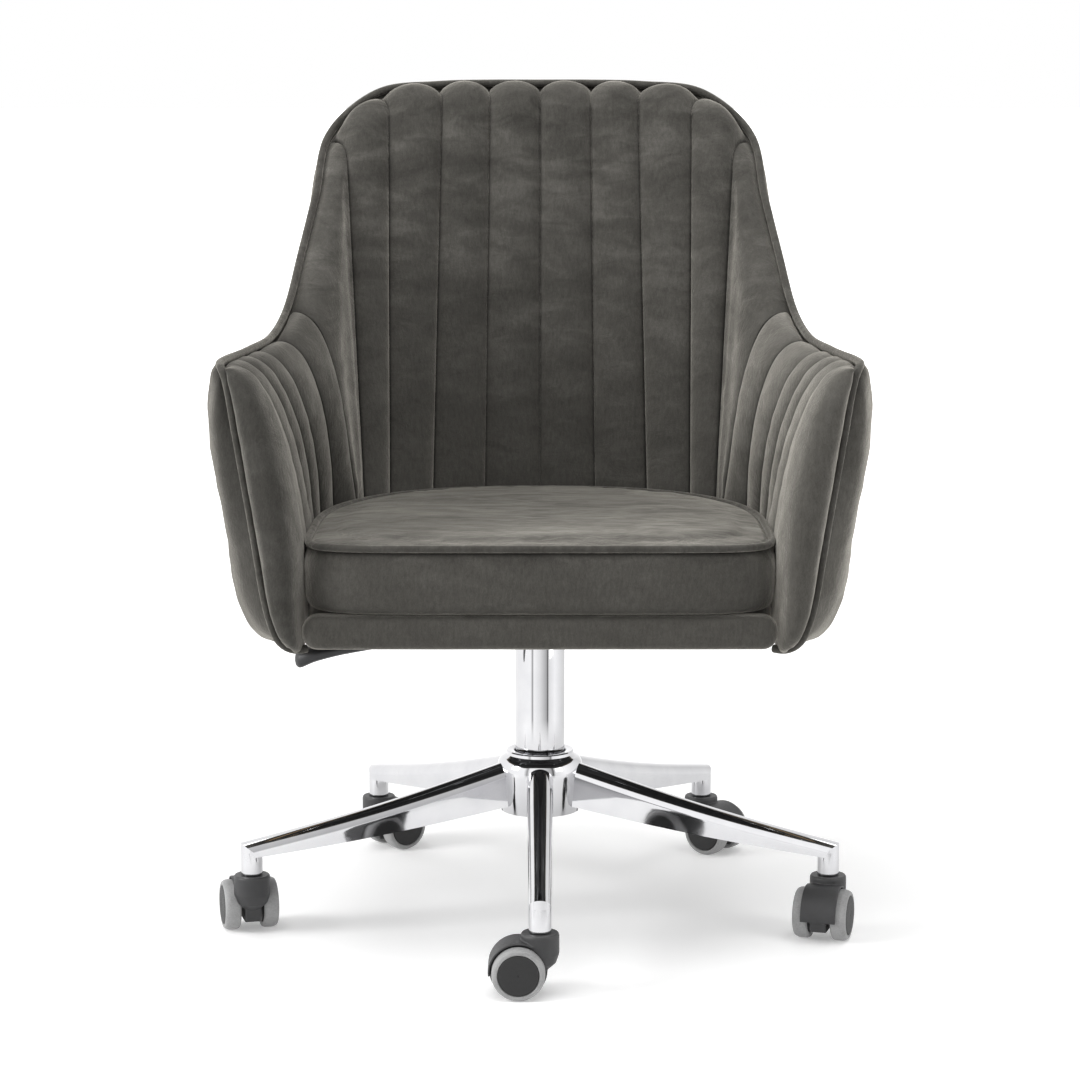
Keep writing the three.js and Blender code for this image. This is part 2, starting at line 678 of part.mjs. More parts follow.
function buildLift() {
  const sleeve = COLUMN_RADIUS - COLUMN_WALL;
  const bottom = HUB_BOTTOM + 1;
  add(
    "column_tube",
    turnedRing(
      [[ROD_RADIUS + 1, bottom], [COLUMN_RADIUS, bottom], [COLUMN_RADIUS, COLUMN_TOP],
        [sleeve, COLUMN_TOP], [sleeve, bottom + 3], [ROD_RADIUS + 1, bottom + 3]],
      HUB_SIDES,
    ),
    chrome(),
  );
  add("guide_bush", tube(CYLINDER_RADIUS + GAP, sleeve - GAP, 215, COLUMN_TOP - 1), acetal());
  add("thrust_bearing", tube(ROD_RADIUS + 1, 12, bottom + 3 + GAP, bottom + 8), steel());
  add(
    "piston_rod",
    turned([[0, 99], [3.6, 99], [3.6, 103], [ROD_RADIUS, 103], [ROD_RADIUS, ROD_TOP], [0, ROD_TOP]], 10),
    chrome(),
  );
  add("retaining_clip", tube(3.6 + GAP, 9, 101, 102.6, 10), steel());
  add("bump_stop", tube(ROD_RADIUS + GAP, 10, bottom + 8 + GAP, CYLINDER_BOTTOM - 0.5, 10), rubber());
  const gland = CYLINDER_BOTTOM + 12;
  const boreTop = ROD_TOP + 6;
  const valveBottom = PIN_TOP - 15;
  add(
    "gas_cylinder",
    cut(
      rod(CYLINDER_RADIUS, CYLINDER_BOTTOM, CYLINDER_TOP, 16),
      rod(ROD_RADIUS + GAP, CYLINDER_BOTTOM - 1, gland + 1, 10),
      rod(11, gland, boreTop, 12),
      rod(4, valveBottom - 4, CYLINDER_TOP + 1, 8),
    ),
    blackSteel(),
  );
  add("release_pin", rod(3.5, valveBottom, PIN_TOP, 8), acetal());

  const pivot = rodBetween(1.5, [LEVER_PIVOT_X, -34.6, LEVER_Z], [LEVER_PIVOT_X, 34.6, LEVER_Z], 8);
  add("lever_pivot_pin", pivot, steel());
  const lever = cordAlong(
    [[4, 0, LEVER_Z], [-20, 0, LEVER_Z], [-44, 0, LEVER_Z], [-62, -2, 300], [-84, -14, 294],
      [-112, -42, 292], [-132, -56, 291], [-160, PADDLE_Y, 289.5]],
    LEVER_RADIUS,
    16,
  );
  const pivotHole = rodBetween(1.9, [LEVER_PIVOT_X, -9, LEVER_Z], [LEVER_PIVOT_X, 9, LEVER_Z], 8);
  add("lever_rod", cut(lever, pivotHole), steel());

  // paddle: a flat grip that thickens and droops towards its tip
  const paddleSections = [
    [-138, 290.5, 7, 9],
    [-150, 290, 7.2, 12],
    [-176, 286, 7, 16],
    [-200, 281, 6.4, 18],
    [-222, 276, 7.5, 18],
    [-236, 271.5, 9, 15],
    [-242, 271, 7, 9],
  ];
  const paddle = loft(
    paddleSections.map(([x, z, halfHeight, halfWidth]) =>
      Array.from({ length: 12 }, (_, i) => {
        const angle = (i / 12) * 2 * Math.PI;
        return [x, PADDLE_Y + halfWidth * Math.cos(angle), z + halfHeight * Math.sin(angle)];
      }),
    ),
  );
  const leverHole = cordAlong(
    [[-112, -42, 292], [-132, -56, 291], [-161, PADDLE_Y, 289.5]],
    LEVER_RADIUS + 0.8,
    5,
  );
  add("lever_paddle", cut(paddle, leverHole), blackPlastic());
}

// ---------------------------------------------------------------- the base

const HUB_PROFILE = [
  [COLUMN_RADIUS + GAP, HUB_BOTTOM], [39.5, HUB_BOTTOM], [43.5, 146], [43, 151], [40, 156.5], [34.5, 160],
  [34, HUB_TOP], [27, HUB_TOP], [COLUMN_RADIUS + GAP, HUB_TOP - 3],
];

/** One leg along +X: a pressed channel that narrows to a socket for the caster stem. */
function legGeometry() {
  const rootRadius = 34;
  const sections = [0, 0.34, 0.67, 1].map((t) => ({
    r: rootRadius + (BASE_RADIUS + 4 - rootRadius) * t,
    halfWidth: 13.5 - 2.8 * t,
    top: 156.5 - 63 * t - 4 * Math.sin(Math.PI * t),
    bottom: 112 - 34 * t - 3 * Math.sin(Math.PI * t),
  }));
  const section = ({ r, halfWidth, top, bottom }, inset, extra) => {
    const half = halfWidth - inset;
    const shoulder = top - halfWidth;
    const arch = Array.from({ length: 7 }, (_, i) => {
      const angle = (i / 6) * Math.PI;
      return [r, half * Math.cos(angle), shoulder + half * Math.sin(angle)];
    });
    return [[r, half, bottom - extra], ...arch, [r, -half, bottom - extra]];
  };
  const outer = loft(sections.map((s) => section(s, 0, 0)));
  const inner = loft(sections.map((s) => section(s, LEG_WALL, 5)));
  const hub = turned([[0, HUB_BOTTOM - 20], [39.5 + GAP, HUB_BOTTOM - 20], [39.5 + GAP, HUB_BOTTOM],
    ...HUB_PROFILE.slice(2, 5).map(([r, z]) => [r + GAP, z]), [34 + GAP, 160], [34 + GAP, HUB_TOP + 10],
    [0, HUB_TOP + 10]], HUB_SIDES);
  const socket = rod(SOCKET_RADIUS, SOCKET_BOTTOM + GAP, 90.5, 14).translate(BASE_RADIUS, 0, 0);
  const stemHole = rod(STEM_RADIUS + GAP, SOCKET_BOTTOM - 5, 84.3, 10).translate(BASE_RADIUS, 0, 0);
  return cut(joined(cut(outer, inner), socket), hub, stemHole);
}

/** A wheel with its middle on the axle line, along +Y, its outer side at positive Y. */
function wheelGeometry() {
  const rim = WHEEL_RADIUS / Math.cos(Math.PI / WHEEL_SIDES); // so that its flats touch the floor
  const profile = [
    [0, WHEEL_OUTER], [19, WHEEL_OUTER], [rim - 1.8, WHEEL_OUTER - 1.2], [rim, WHEEL_OUTER - 3.4],
    [rim, WHEEL_INNER + 2], [rim - 2, WHEEL_INNER], [AXLE_RADIUS + GAP, WHEEL_INNER],
    [AXLE_RADIUS + GAP, WHEEL_OUTER - 2.6], [0, WHEEL_OUTER - 2.6],
  ];
  const points = profile.map(([r, y]) => new THREE.Vector2(r, y));
  return closed(new THREE.LatheGeometry(points, WHEEL_SIDES, Math.PI / WHEEL_SIDES));
}

/** The caster's hood, with its stem axis on Z and the wheels trailing along +X. */
function hoodGeometry() {
  const alongAxle = (shape, halfWidth) =>
    new THREE.ExtrudeGeometry(shape, { depth: 2 * halfWidth, bevelEnabled: false, curveSegments: 5 })
      .rotateX(Math.PI / 2)
      .translate(CASTER_TRAIL, halfWidth, WHEEL_RADIUS);
  const bandInner = 26.3;
  const bandOuter = 28.3;
  const from = radians(-6);
  const to = radians(120);
  const band = new THREE.Shape();
  band.absarc(0, 0, bandOuter, from, to, false);
  band.absarc(0, 0, bandInner, to, from, true);
  const web = new THREE.Shape();
  web.absarc(0, 0, bandInner + 0.7, radians(-30), radians(210), false);
  const boss = turned([[0, 24], [7, 24], [15, 31], [18, 40], [18, 58], [16.8, 59.5], [0, 59.5]], 14);
  const wheelSpace = [8, -40].map((y) =>
    new THREE.CylinderGeometry(bandInner, bandInner, 32, 16).translate(CASTER_TRAIL, y + 16, WHEEL_RADIUS),
  );
  const solid = joined(cut(boss, ...wheelSpace), alongAxle(band, 17.5), alongAxle(web, 7.9));
  const axleHole = new THREE.CylinderGeometry(AXLE_RADIUS + GAP, AXLE_RADIUS + GAP, 60, 8).translate(
    CASTER_TRAIL, 0, WHEEL_RADIUS,
  );
  const stemHole = rod(STEM_RADIUS + GAP, 40, 70, 10);
  return cut(solid, axleHole, stemHole);
}

function buildBase() {
  add("base_hub", turnedRing(HUB_PROFILE, HUB_SIDES), chrome());
  const leg = legGeometry();
  const hood = hoodGeometry();
  const wheel = wheelGeometry();
  const axle = new THREE.CylinderGeometry(AXLE_RADIUS, AXLE_RADIUS, 2 * (WHEEL_OUTER - 3), 8);
  const stem = rod(STEM_RADIUS, 40 + GAP, 84, 10);
  for (let i = 0; i < LEG_COUNT; i++) {
    const number = i + 1;
    const arm = new THREE.Group();
    arm.rotation.z = radians(-90 + (360 / LEG_COUNT) * i);
    group.add(arm);
    add(`leg_${number}`, leg, chrome(), arm);
    add(`caster_stem_${number}`, stem, steel(), arm).position.x = BASE_RADIUS;

    const caster = new THREE.Group();
    caster.position.set(BASE_RADIUS * Math.cos(arm.rotation.z), BASE_RADIUS * Math.sin(arm.rotation.z), 0);
    caster.rotation.z = radians(CASTER_HEADINGS[i]);
    group.add(caster);
    add(`caster_hood_${number}`, hood, casterNylon(), caster);
    for (const [name, piece, material] of [
      [`caster_axle_${number}`, axle, steel()],
      [`wheel_${number}_a`, wheel, tyreGrey()],
      [`wheel_${number}_b`, wheel, tyreGrey()],
    ]) {
      const mesh = add(name, piece, material, caster);
      mesh.position.set(CASTER_TRAIL, 0, WHEEL_RADIUS);
      mesh.rotation.z = name.endsWith("_b") ? Math.PI : 0;
    }
  }
}

buildBase();
buildLift();
buildSeat();
buildTub();

export default group;
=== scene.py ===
"""A swivel office chair with a channelled velvet tub seat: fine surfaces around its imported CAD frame.

Lengths are written in millimetres, as the CAD model's are, and turned to metres when a mesh is made.
"""

import math

import bpy
import numpy as np
from mathutils import Matrix, Vector, noise


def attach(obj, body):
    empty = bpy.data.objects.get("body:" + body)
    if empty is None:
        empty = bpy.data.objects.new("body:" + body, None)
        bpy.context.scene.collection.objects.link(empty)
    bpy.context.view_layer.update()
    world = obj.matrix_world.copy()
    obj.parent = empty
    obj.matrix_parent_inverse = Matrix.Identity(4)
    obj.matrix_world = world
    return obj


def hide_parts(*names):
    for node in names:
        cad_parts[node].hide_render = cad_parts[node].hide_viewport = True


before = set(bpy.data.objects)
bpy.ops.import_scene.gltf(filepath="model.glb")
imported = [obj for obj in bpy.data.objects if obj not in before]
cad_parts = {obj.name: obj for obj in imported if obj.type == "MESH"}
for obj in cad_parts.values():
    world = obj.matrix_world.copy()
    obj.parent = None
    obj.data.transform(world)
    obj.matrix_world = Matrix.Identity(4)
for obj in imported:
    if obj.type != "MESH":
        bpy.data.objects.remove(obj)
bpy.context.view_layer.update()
MM = 0.001

# ---- dimensions shared with the CAD model

LEG_COUNT = 5
BASE_RADIUS = 300
HUB_BOTTOM, HUB_TOP = 104, 166
LEG_WALL = 2.6
SOCKET_BOTTOM = 60.3
STEM_RADIUS = 5.5
WHEEL_RADIUS, WHEEL_INNER, WHEEL_OUTER = 25, 11, 27
CASTER_TRAIL = 20
AXLE_RADIUS = 3
CASTER_HEADINGS = [180, 252.7, -36.4, 37, 104.5]
COLUMN_RADIUS, COLUMN_TOP = 25, 277
TUB_BOTTOM, SEAT_LEVEL = 308, 403
FRAME_THICKNESS, OUTER_PAD = 10, 17.5
RIM_GAP, RIM_DROP, FRAME_DROP = 10, 9, 20
BACK_SEAM, LAST_STATION = 7, 14
FOOT, SHOULDER = 90, 120  # how much of the outer face's foot and top draws in
FOOT_INSET, OUTER_CURVE = 22, 2.5  # how far it draws in, and how late
FOOT_ROUND, FOOT_ROUND_HEIGHT = 9, 24  # the rounding of its lower edge
WALL_TAPER, FRAME_FOOT_SHARE = 0.18, 0.75  # the wall thins downwards, and the frame follows its foot less
LINING_GAP, RIM_LINING = 2, 0.6  # the pads' clearance from the frame and in the rim
ROLL_FULLNESS = 2.4  # 2 rolls the inner face into the rim along an ellipse, more is squarer
PIPING_RADIUS = 4
SEAT_HALF_WIDTH, SEAT_MIDDLE_Y, SEAT_BACK_DEPTH, SEAT_FRONT_DEPTH = 226, -83, 285, 179
SEAT_BACK_FULLNESS, SEAT_FRONT_FULLNESS = 2.35, 8
CUSHION_RISE = 7  # how much higher the cushion's top is at the front
CUSHION_BOTTOM, CUSHION_WALL, CUSHION_EDGE, CUSHION_FACE = 349, 52, 404, 405
CORE_INSET, CORE_BOTTOM, CORE_TOP, RAIL_SPACE = 6, 334.8, 348.2, 46  # under the cushion, behind the rail
RAIL_HALF_LENGTH, RAIL_Y, RAIL_Z, RAIL_HALF_DEPTH, RAIL_HALF_HEIGHT = 221, -242, 332, 15.5, 16.2
LINING_INSET, PAN_OPENING, LINING_LEVEL, LINING_THICKNESS, LINING_SAG = 7, 40, 314.95, 0.7, 0.45

# Stations along the right half of the tub: seat x, y, rim x, y, z, heading, roll, roll depth, wall, belly.
STATIONS = [
    (0, 202, 0, 291, 829.5, 90, 20, 26, 72, 0),
    (58, 198, 55, 290, 829.5, 86, 20, 26, 72, 0),
    (112, 181, 109, 287, 828, 76, 20, 26, 71, 0),
    (156, 152, 171, 278, 820, 60, 20, 28, 65, 0),
    (181, 124, 220.5, 253, 776.5, 42, 22, 34, 52, 0),
    (184, 116, 231.5, 208, 715, 28, 23, 50, 50, 0),
    (187, 108, 244, 160, 655, 22, 33, 80, 56, 0),
    (190, 100, 254, 104, 605, 17, 43, 120, 66, -2),
    (207, 64, 264.5, 30, 581, 12, 51, 165, 76, 3),
    (216, 30, 278.5, -50, 576, 9, 54, 174, 82, 5),
    (221, -4, 286, -102, 575.5, 7, 54, 175, 84, 5),
    (224, -38, 291, -148, 576.5, 5, 54, 176, 85, 5),
    (226, -74, 294, -192, 577, 4, 54, 175, 85, 0),
    (226, -150, 293.5, -204, 576, 3, 53, 171, 81, 0),
    (225, -218, 291, -213, 574.5, 2, 49, 165, 60, 0),
]
# The welt down an arm's front (x, y, z), and how far forward the arm's nose reaches (y, z).
NOSE_EDGE = [
    (232, -237, 308), (243, -240, 321), (249, -240, 335), (256, -240, 361), (268, -236, 436),
    (281, -229, 510), (287.5, -223, 548), (291.5, -219, 567),
]
NOSE_FRONT = [
    (-240, 308), (-249, 313), (-256, 324), (-260, 350), (-261, 403), (-256, 470), (-243, 540), (-228, 567),
]

# ---- mesh helpers


def added(name, data):
    """A new object in the scene."""
    made = bpy.data.objects.new(name, data)
    bpy.context.scene.collection.objects.link(made)
    return made


def evaluated(piece):
    """A copy of a piece's mesh as its modifiers make it."""
    graph = bpy.context.evaluated_depsgraph_get()
    return bpy.data.meshes.new_from_object(piece.evaluated_get(graph))


def signed_power(value, exponent):
    return np.sign(value) * np.abs(value) ** exponent


def make_piece(name, part, material, body, replaces, sharp, seam_shade=None):
    """A smooth-shaded mesh from (points in millimetres, faces), which are turned to point outwards."""
    points, faces = part
    points = np.asarray(points, float) * MM
    volume = 0.0
    for face in faces:
        a = points[face[0]]
        for k in range(1, len(face) - 1):
            volume += np.dot(a, np.cross(points[face[k]], points[face[k + 1]]))
    if volume < 0:
        faces = [tuple(reversed(face)) for face in faces]
    mesh = bpy.data.meshes.new(name)
    mesh.from_pydata([tuple(p) for p in points], [], [tuple(int(i) for i in f) for f in faces])
    mesh.validate()
    if seam_shade is not None:
        attribute = mesh.attributes.new("seam_shade", "FLOAT", "POINT")
        attribute.data.foreach_set("value", np.asarray(seam_shade, np.float32))
    mesh.shade_smooth()
    mesh.set_sharp_from_angle(angle=math.radians(sharp))
    mesh.materials.append(material)
    piece = added(name, mesh)
    place(piece, body, replaces)
    return piece


def place(piece, body, replaces):
    """Says which body a piece rides on, and hides the CAD nodes it stands for."""
    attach(piece, body)
    if replaces:
        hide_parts(*replaces)


def joined(*parts):
    """Several (points, faces) pairs as one."""
    points, faces, start = [], [], 0
    for part_points, part_faces in parts:
        points.extend(part_points)
        faces.extend(tuple(i + start for i in face) for face in part_faces)
        start += len(part_points)
    return np.array(points), faces


def grid_faces(columns, rows, start=0, flip=False):
    """Quads between the points of a grid that are numbered column by column."""
    corners = [start + i * rows + j for i in range(columns - 1) for j in range(rows - 1)]
    quads = [(a, a + rows, a + rows + 1, a + 1) for a in corners]
    return [quad[::-1] for quad in quads] if flip else quads


def slab(front, back):
    """A closed solid between two facing grids of points with the same columns and rows."""
    columns, rows = front.shape[:2]
    count = columns * rows
    faces = grid_faces(columns, rows) + grid_faces(columns, rows, count, flip=True)
    for i in range(columns - 1):
        a, b = i * rows, (i + 1) * rows
        faces.append((a, count + a, count + b, b))
        a, b = a + rows - 1, b + rows - 1
        faces.append((a, b, count + b, count + a))
    for j in range(rows - 1):
        faces.append((j, j + 1, count + j + 1, count + j))
        a = (columns - 1) * rows + j
        faces.append((a, count + a, count + a + 1, a + 1))
    return np.concatenate([front.reshape(-1, 3), back.reshape(-1, 3)]), faces


def loft(rings, wraps=False):
    """A solid through rings of points; it wraps into a loop, or its end rings are closed off."""
    rings = np.asarray(rings, float)
    spans, count = rings.shape[:2]
    faces = []
    for i in range(spans if wraps else spans - 1):
        following = (i + 1) % spans
        for j in range(count):
            k = (j + 1) % count
            a, b = i * count, following * count
            faces.append((a + j, b + j, b + k, a + k))
    points = rings.reshape(-1, 3)
    if not wraps:
        middles = [rings[0].mean(axis=0), rings[-1].mean(axis=0)]
        points = np.concatenate([points, middles])
        last = (spans - 1) * count
        for j in range(count):
            k = (j + 1) % count
            faces.append((spans * count, j, k))
            faces.append((spans * count + 1, last + k, last + j))
    return points, faces


def turned(profile, sides=64, closed=True):
    """A solid of revolution about Z from (radius, z) pairs; one that isn't closed ends on the axis."""
    angles = np.arange(sides) / sides * 2 * math.pi
    circle = np.stack([np.cos(angles), np.sin(angles), np.zeros(sides)], -1)
    rings = [circle * r + (0, 0, z) for r, z in profile]
    return loft(rings, wraps=closed)


def rounded(corners, radius, steps=4):
    """A closed outline in the plane with its corners rounded."""
    corners = [np.array(c, float) for c in corners]
    result = []
    for i, corner in enumerate(corners):
        before, after = corners[i - 1] - corner, corners[(i + 1) % len(corners)] - corner
        reach = min(radius, np.linalg.norm(before) * 0.45, np.linalg.norm(after) * 0.45)
        start = corner + before / np.linalg.norm(before) * reach
        end = corner + after / np.linalg.norm(after) * reach
        for t in np.linspace(0, 1, steps + 1):
            result.append((1 - t) ** 2 * start + 2 * t * (1 - t) * corner + t * t * end)
    return result


def smooth_at(table, position):
    """Smooth values through the rows of a table at positions counted in rows."""
    table = np.asarray(table, float)
    position = np.atleast_1d(np.asarray(position, float))
    last = len(table) - 1
    start = np.clip(np.floor(position).astype(int), 0, last - 1)
    w = (position - start).reshape((-1,) + (1,) * (table.ndim - 1))
    b, c = table[start], table[start + 1]
    shape = (-1,) + (1,) * (table.ndim - 1)
    a = np.where((start > 0).reshape(shape), table[np.maximum(start - 1, 0)], 2 * b - c)
    d = np.where((start + 2 <= last).reshape(shape), table[np.minimum(start + 2, last)], 2 * c - b)
    rise, fall = (c - a) / 2, (d - b) / 2
    return (2 * b - 2 * c + rise + fall) * w**3 + (3 * c - 3 * b - 2 * rise - fall) * w**2 + rise * w + b


def smoothed(table, count):
    return smooth_at(table, np.linspace(0, len(table) - 1, count))


def spaced(points, count):
    """The same line with its points evenly spaced along it."""
    lengths = np.concatenate([[0], np.cumsum(np.linalg.norm(np.diff(points, axis=0), axis=1))])
    at = np.linspace(0, lengths[-1], count)
    return np.stack([np.interp(at, lengths, points[:, axis]) for axis in range(points.shape[1])], -1)


def tube_rings(path, radius, sides=12, wraps=False):
    """Rings of a round cord along a line of points, which keep level where they can."""
    path = np.asarray(path, float)
    if wraps:
        tangents = np.roll(path, -1, axis=0) - np.roll(path, 1, axis=0)
    else:
        tangents = np.gradient(path, axis=0)
    tangents /= np.linalg.norm(tangents, axis=1)[:, None]
    side = np.stack([-tangents[:, 1], tangents[:, 0], np.zeros(len(path))], -1)
    side /= np.maximum(np.linalg.norm(side, axis=1), 1e-6)[:, None]
    other = np.cross(tangents, side)
    angles = (np.arange(sides) + 0.5) / sides * 2 * math.pi
    radius = np.broadcast_to(radius, len(path))[:, None, None]
    return path[:, None] + radius * (
        side[:, None] * np.cos(angles)[None, :, None]
        + other[:, None] * np.sin(angles)[None, :, None]
    )


def swollen(piece, held, cap, frames=20):
    """Lets the filling press a pad's cloth out between the points that are held, by at most the cap."""
    group = piece.vertex_groups.new(name="held")
    for i, weight in enumerate(held):
        if weight > 0.02:
            group.add([i], float(weight), "REPLACE")
    cloth = piece.modifiers.new("swell", "CLOTH")
    cloth.settings.quality = 5
    cloth.settings.use_pressure = True
    cloth.settings.uniform_pressure_force = 4
    cloth.settings.shrink_min = -0.02
    cloth.settings.vertex_group_mass = "held"
    cloth.settings.effector_weights.gravity = 0
    cloth.collision_settings.use_collision = False
    cloth.point_cache.frame_start, cloth.point_cache.frame_end = 1, frames
    for step in range(1, frames + 1):
        bpy.context.scene.frame_set(step)
    shaped = evaluated(piece)
    before, after = (np.empty(3 * len(shaped.vertices)) for _ in range(2))
    piece.data.vertices.foreach_get("co", before)
    shaped.vertices.foreach_get("co", after)
    bpy.data.meshes.remove(shaped)
    move = (after - before).reshape(-1, 3)
    length = np.linalg.norm(move, axis=1)[:, None]
    limit = cap * MM
    move *= limit * np.tanh(length / limit) / np.maximum(length, 1e-9)
    move *= (1 - np.asarray(held, float))[:, None]
    piece.modifiers.clear()
    piece.vertex_groups.clear()
    piece.data.vertices.foreach_set("co", before + move.reshape(-1))
    piece.data.update()
    bpy.context.scene.frame_set(1)


def ease(x):
    """A smooth step from 0 to 1."""
    x = np.clip(x, 0, 1)
    return x * x * (3 - 2 * x)


def mirrored(part):
    """The left side's (points, faces) from the right side's."""
    return part[0] * (-1, 1, 1), part[1]


def cloud(points, scale, seed):
    """Smooth noise from -1 to 1 at points in millimetres, with features of about scale."""
    flat = np.asarray(points, float).reshape(-1, 3) / scale
    offset = Vector((seed * 7.3, seed * 3.1, seed * 5.7))
    values = [noise.noise(Vector(p) + offset) for p in flat]
    return np.array(values).reshape(np.asarray(points).shape[:-1])


# ---- materials


def rgba(value):
    """A colour with its alpha, from a colour or a grey."""
    return (*value, 1) if isinstance(value, tuple) else (value, value, value, 1)


class Nodes:
    """A node tree that is built up from empty."""

    def __init__(self, tree):
        self.tree = tree
        tree.nodes.clear()

    def feed(self, socket, value):
        """Sets a socket, or links it to another node's output."""
        if isinstance(value, bpy.types.NodeSocket):
            self.tree.links.new(value, socket)
        elif socket.type == "RGBA":
            socket.default_value = rgba(value)
        else:
            socket.default_value = value

    def outputs(self, kind):
        return self.tree.nodes.new("ShaderNode" + kind).outputs

    def node(self, kind, inputs=None, out=0, **settings):
        node = self.tree.nodes.new("ShaderNode" + kind)
        for key, value in settings.items():
            setattr(node, key, value)
        for key, value in (inputs or {}).items():
            self.feed(node.inputs[key], value)
        return node.outputs[out]

    def math(self, operation, a, b=0.0, c=0.0):
        return self.node("Math", {0: a, 1: b, 2: c}, operation=operation)

    def between(self, value, start, end, first=0.0, last=1.0):
        """Takes a value's way from start to end to one from first to last."""
        limits = {"From Min": start, "From Max": end, "To Min": first, "To Max": last}
        return self.node("MapRange", {"Value": value, **limits})

    def blend(self, a, share, b):
        return self.math("MULTIPLY_ADD", a, share, self.math("MULTIPLY", b, 1 - share))

    def mix(self, factor, a, b, blend="MIX"):
        return self.node("Mix", {0: factor, 6: a, 7: b}, 2, data_type="RGBA", blend_type=blend)

    def ramp(self, value, *stops):
        """A colour or grey ramp from (position, colour) stops."""
        node = self.tree.nodes.new("ShaderNodeValToRGB")
        elements = node.color_ramp.elements
        while len(elements) < len(stops):
            elements.new(0.5)
        for element, (position, colour) in zip(elements, stops):
            element.position, element.color = position, rgba(colour)
        self.tree.links.new(value, node.inputs[0])
        return node.outputs[0]


class Shader(Nodes):
    """A material around one Principled shader."""

    def __init__(self, name, **settings):
        self.material = bpy.data.materials.new(name)
        self.material.use_nodes = True
        super().__init__(self.material.node_tree)
        self.output = self.tree.nodes.new("ShaderNodeOutputMaterial")
        self.main = self.tree.nodes.new("ShaderNodeBsdfPrincipled")
        self.tree.links.new(self.main.outputs[0], self.output.inputs["Surface"])
        self.place = self.outputs("TexCoord")["Object"]
        for socket, value in settings.items():
            self.main.inputs[socket.replace("_", " ")].default_value = value

    def scaled(self, scale, rotation=(0, 0, 0)):
        """The place on the object, scaled and turned."""
        return self.node("Mapping", {"Vector": self.place, "Scale": scale, "Rotation": rotation})

    def noise(self, scale, detail=2.0, roughness=0.5, distortion=0.0, vector=None):
        inputs = {"Scale": scale, "Detail": detail, "Roughness": roughness, "Distortion": distortion}
        return self.node("TexNoise", {"Vector": vector or self.place, **inputs})

    def bump(self, height, distance, strength=1.0, normal=None):
        """A bump whose height of 1 stands for a distance in metres."""
        inputs = {"Height": height, "Distance": distance, "Strength": strength}
        if normal is not None:
            inputs["Normal"] = normal
        return self.node("Bump", inputs)

    def set(self, **sockets):
        """Links sockets of the main shader and gives the material."""
        for key, value in sockets.items():
            self.tree.links.new(value, self.main.inputs[key.replace("_", " ")])
        return self.material


PILE_COLOUR = (0.066, 0.0628, 0.0558)
# Near-black colour of the painted shade in the creases at the seams and beside the welts.
CREASE_SHADE_COLOUR = (0.004, 0.0038, 0.0035)


def velvet(name, across, patch, tone_and_side_light, contrast, fade=(0.0, 0.1, 1.0)):
    """Short-pile velvet: a fine pile, nap that lies in patches, and painted shade in the creases at the
    seams.

    Fade is a height in metres, a higher one from which the nap shows fully, and its share at the lower.
    """
    s = Shader(
        name, Roughness=0.85, Sheen_Roughness=0.42, Sheen_Tint=(0.95, 0.905, 0.81, 1), Specular_IOR_Level=0.15
    )
    wide = s.noise(patch, 3.0, 0.55, 1.4, s.scaled(across))
    narrow = s.noise(patch * 4.2, 4.0, 0.6, 0.8, s.scaled(across, (0.4, 0.2, 0.5)))
    pile = s.noise(1500, 2.0, 0.6, 0.0, s.scaled((1, 1, 0.35), (0.5, 0.35, 0.6)))
    strand = s.noise(330, 3.0, 0.7, 0.0, s.scaled((1, 1, 0.3), (0.6, 0.7, 0.3)))
    nap = s.blend(narrow, 0.42, wide)
    height = s.node("SeparateXYZ", {"Vector": s.place}, 2)
    brushed_up = s.between(height, *fade)
    nap = s.math("MULTIPLY_ADD", s.math("SUBTRACT", nap, 0.5), brushed_up, 0.5)

    # The tone scales colour and sheen; on the arms it also carries painted light and shade by side.
    red = PILE_COLOUR[0] * tone_and_side_light
    low, high = red * (1 - contrast * 0.5), red * (1 + contrast * 0.9)
    colour = s.ramp(
        nap,
        (0.38, (low, low * 0.95, low * 0.84)),
        (0.50, tuple(part * tone_and_side_light for part in PILE_COLOUR)),
        (0.62, (high, high * 0.955, high * 0.86)),
    )
    colour = s.mix(1.0, colour, s.ramp(s.blend(pile, 0.5, strand), (0.32, 0.55), (0.68, 1.0)), "MULTIPLY")
    # Painted shade: each point's shade attribute darkens the creases towards the near-black crease colour.
    colour = s.mix(s.node("Attribute", out=2, attribute_name="seam_shade"), colour, CREASE_SHADE_COLOUR)
    sheen = 0.5 * tone_and_side_light
    sheen = s.ramp(nap, (0.38, sheen * (1 - contrast * 0.5)), (0.62, min(1, sheen * (1 + contrast))))
    rough_nap = s.bump(strand, 0.0006, 0.7, s.bump(narrow, 0.0014, 0.8))
    normal = s.bump(pile, 0.0003, 0.6, rough_nap)
    return s.set(Base_Color=colour, Sheen_Weight=sheen, Normal=normal)


def polished():
    """Bright chrome with the faintest haze and waviness of plating."""
    s = Shader("chrome_finish", Metallic=1.0)
    haze = s.noise(35, 3.0)
    fine = s.noise(900, 2.0, 0.6, 0.0, s.scaled((1, 1, 0.2)))
    rough = s.ramp(s.blend(fine, 0.3, haze), (0.3, 0.035), (0.7, 0.075))
    tint = s.ramp(haze, (0.3, (0.53, 0.53, 0.545)), (0.7, (0.58, 0.58, 0.59)))
    return s.set(Base_Color=tint, Roughness=rough, Normal=s.bump(haze, 0.0001, 0.25))


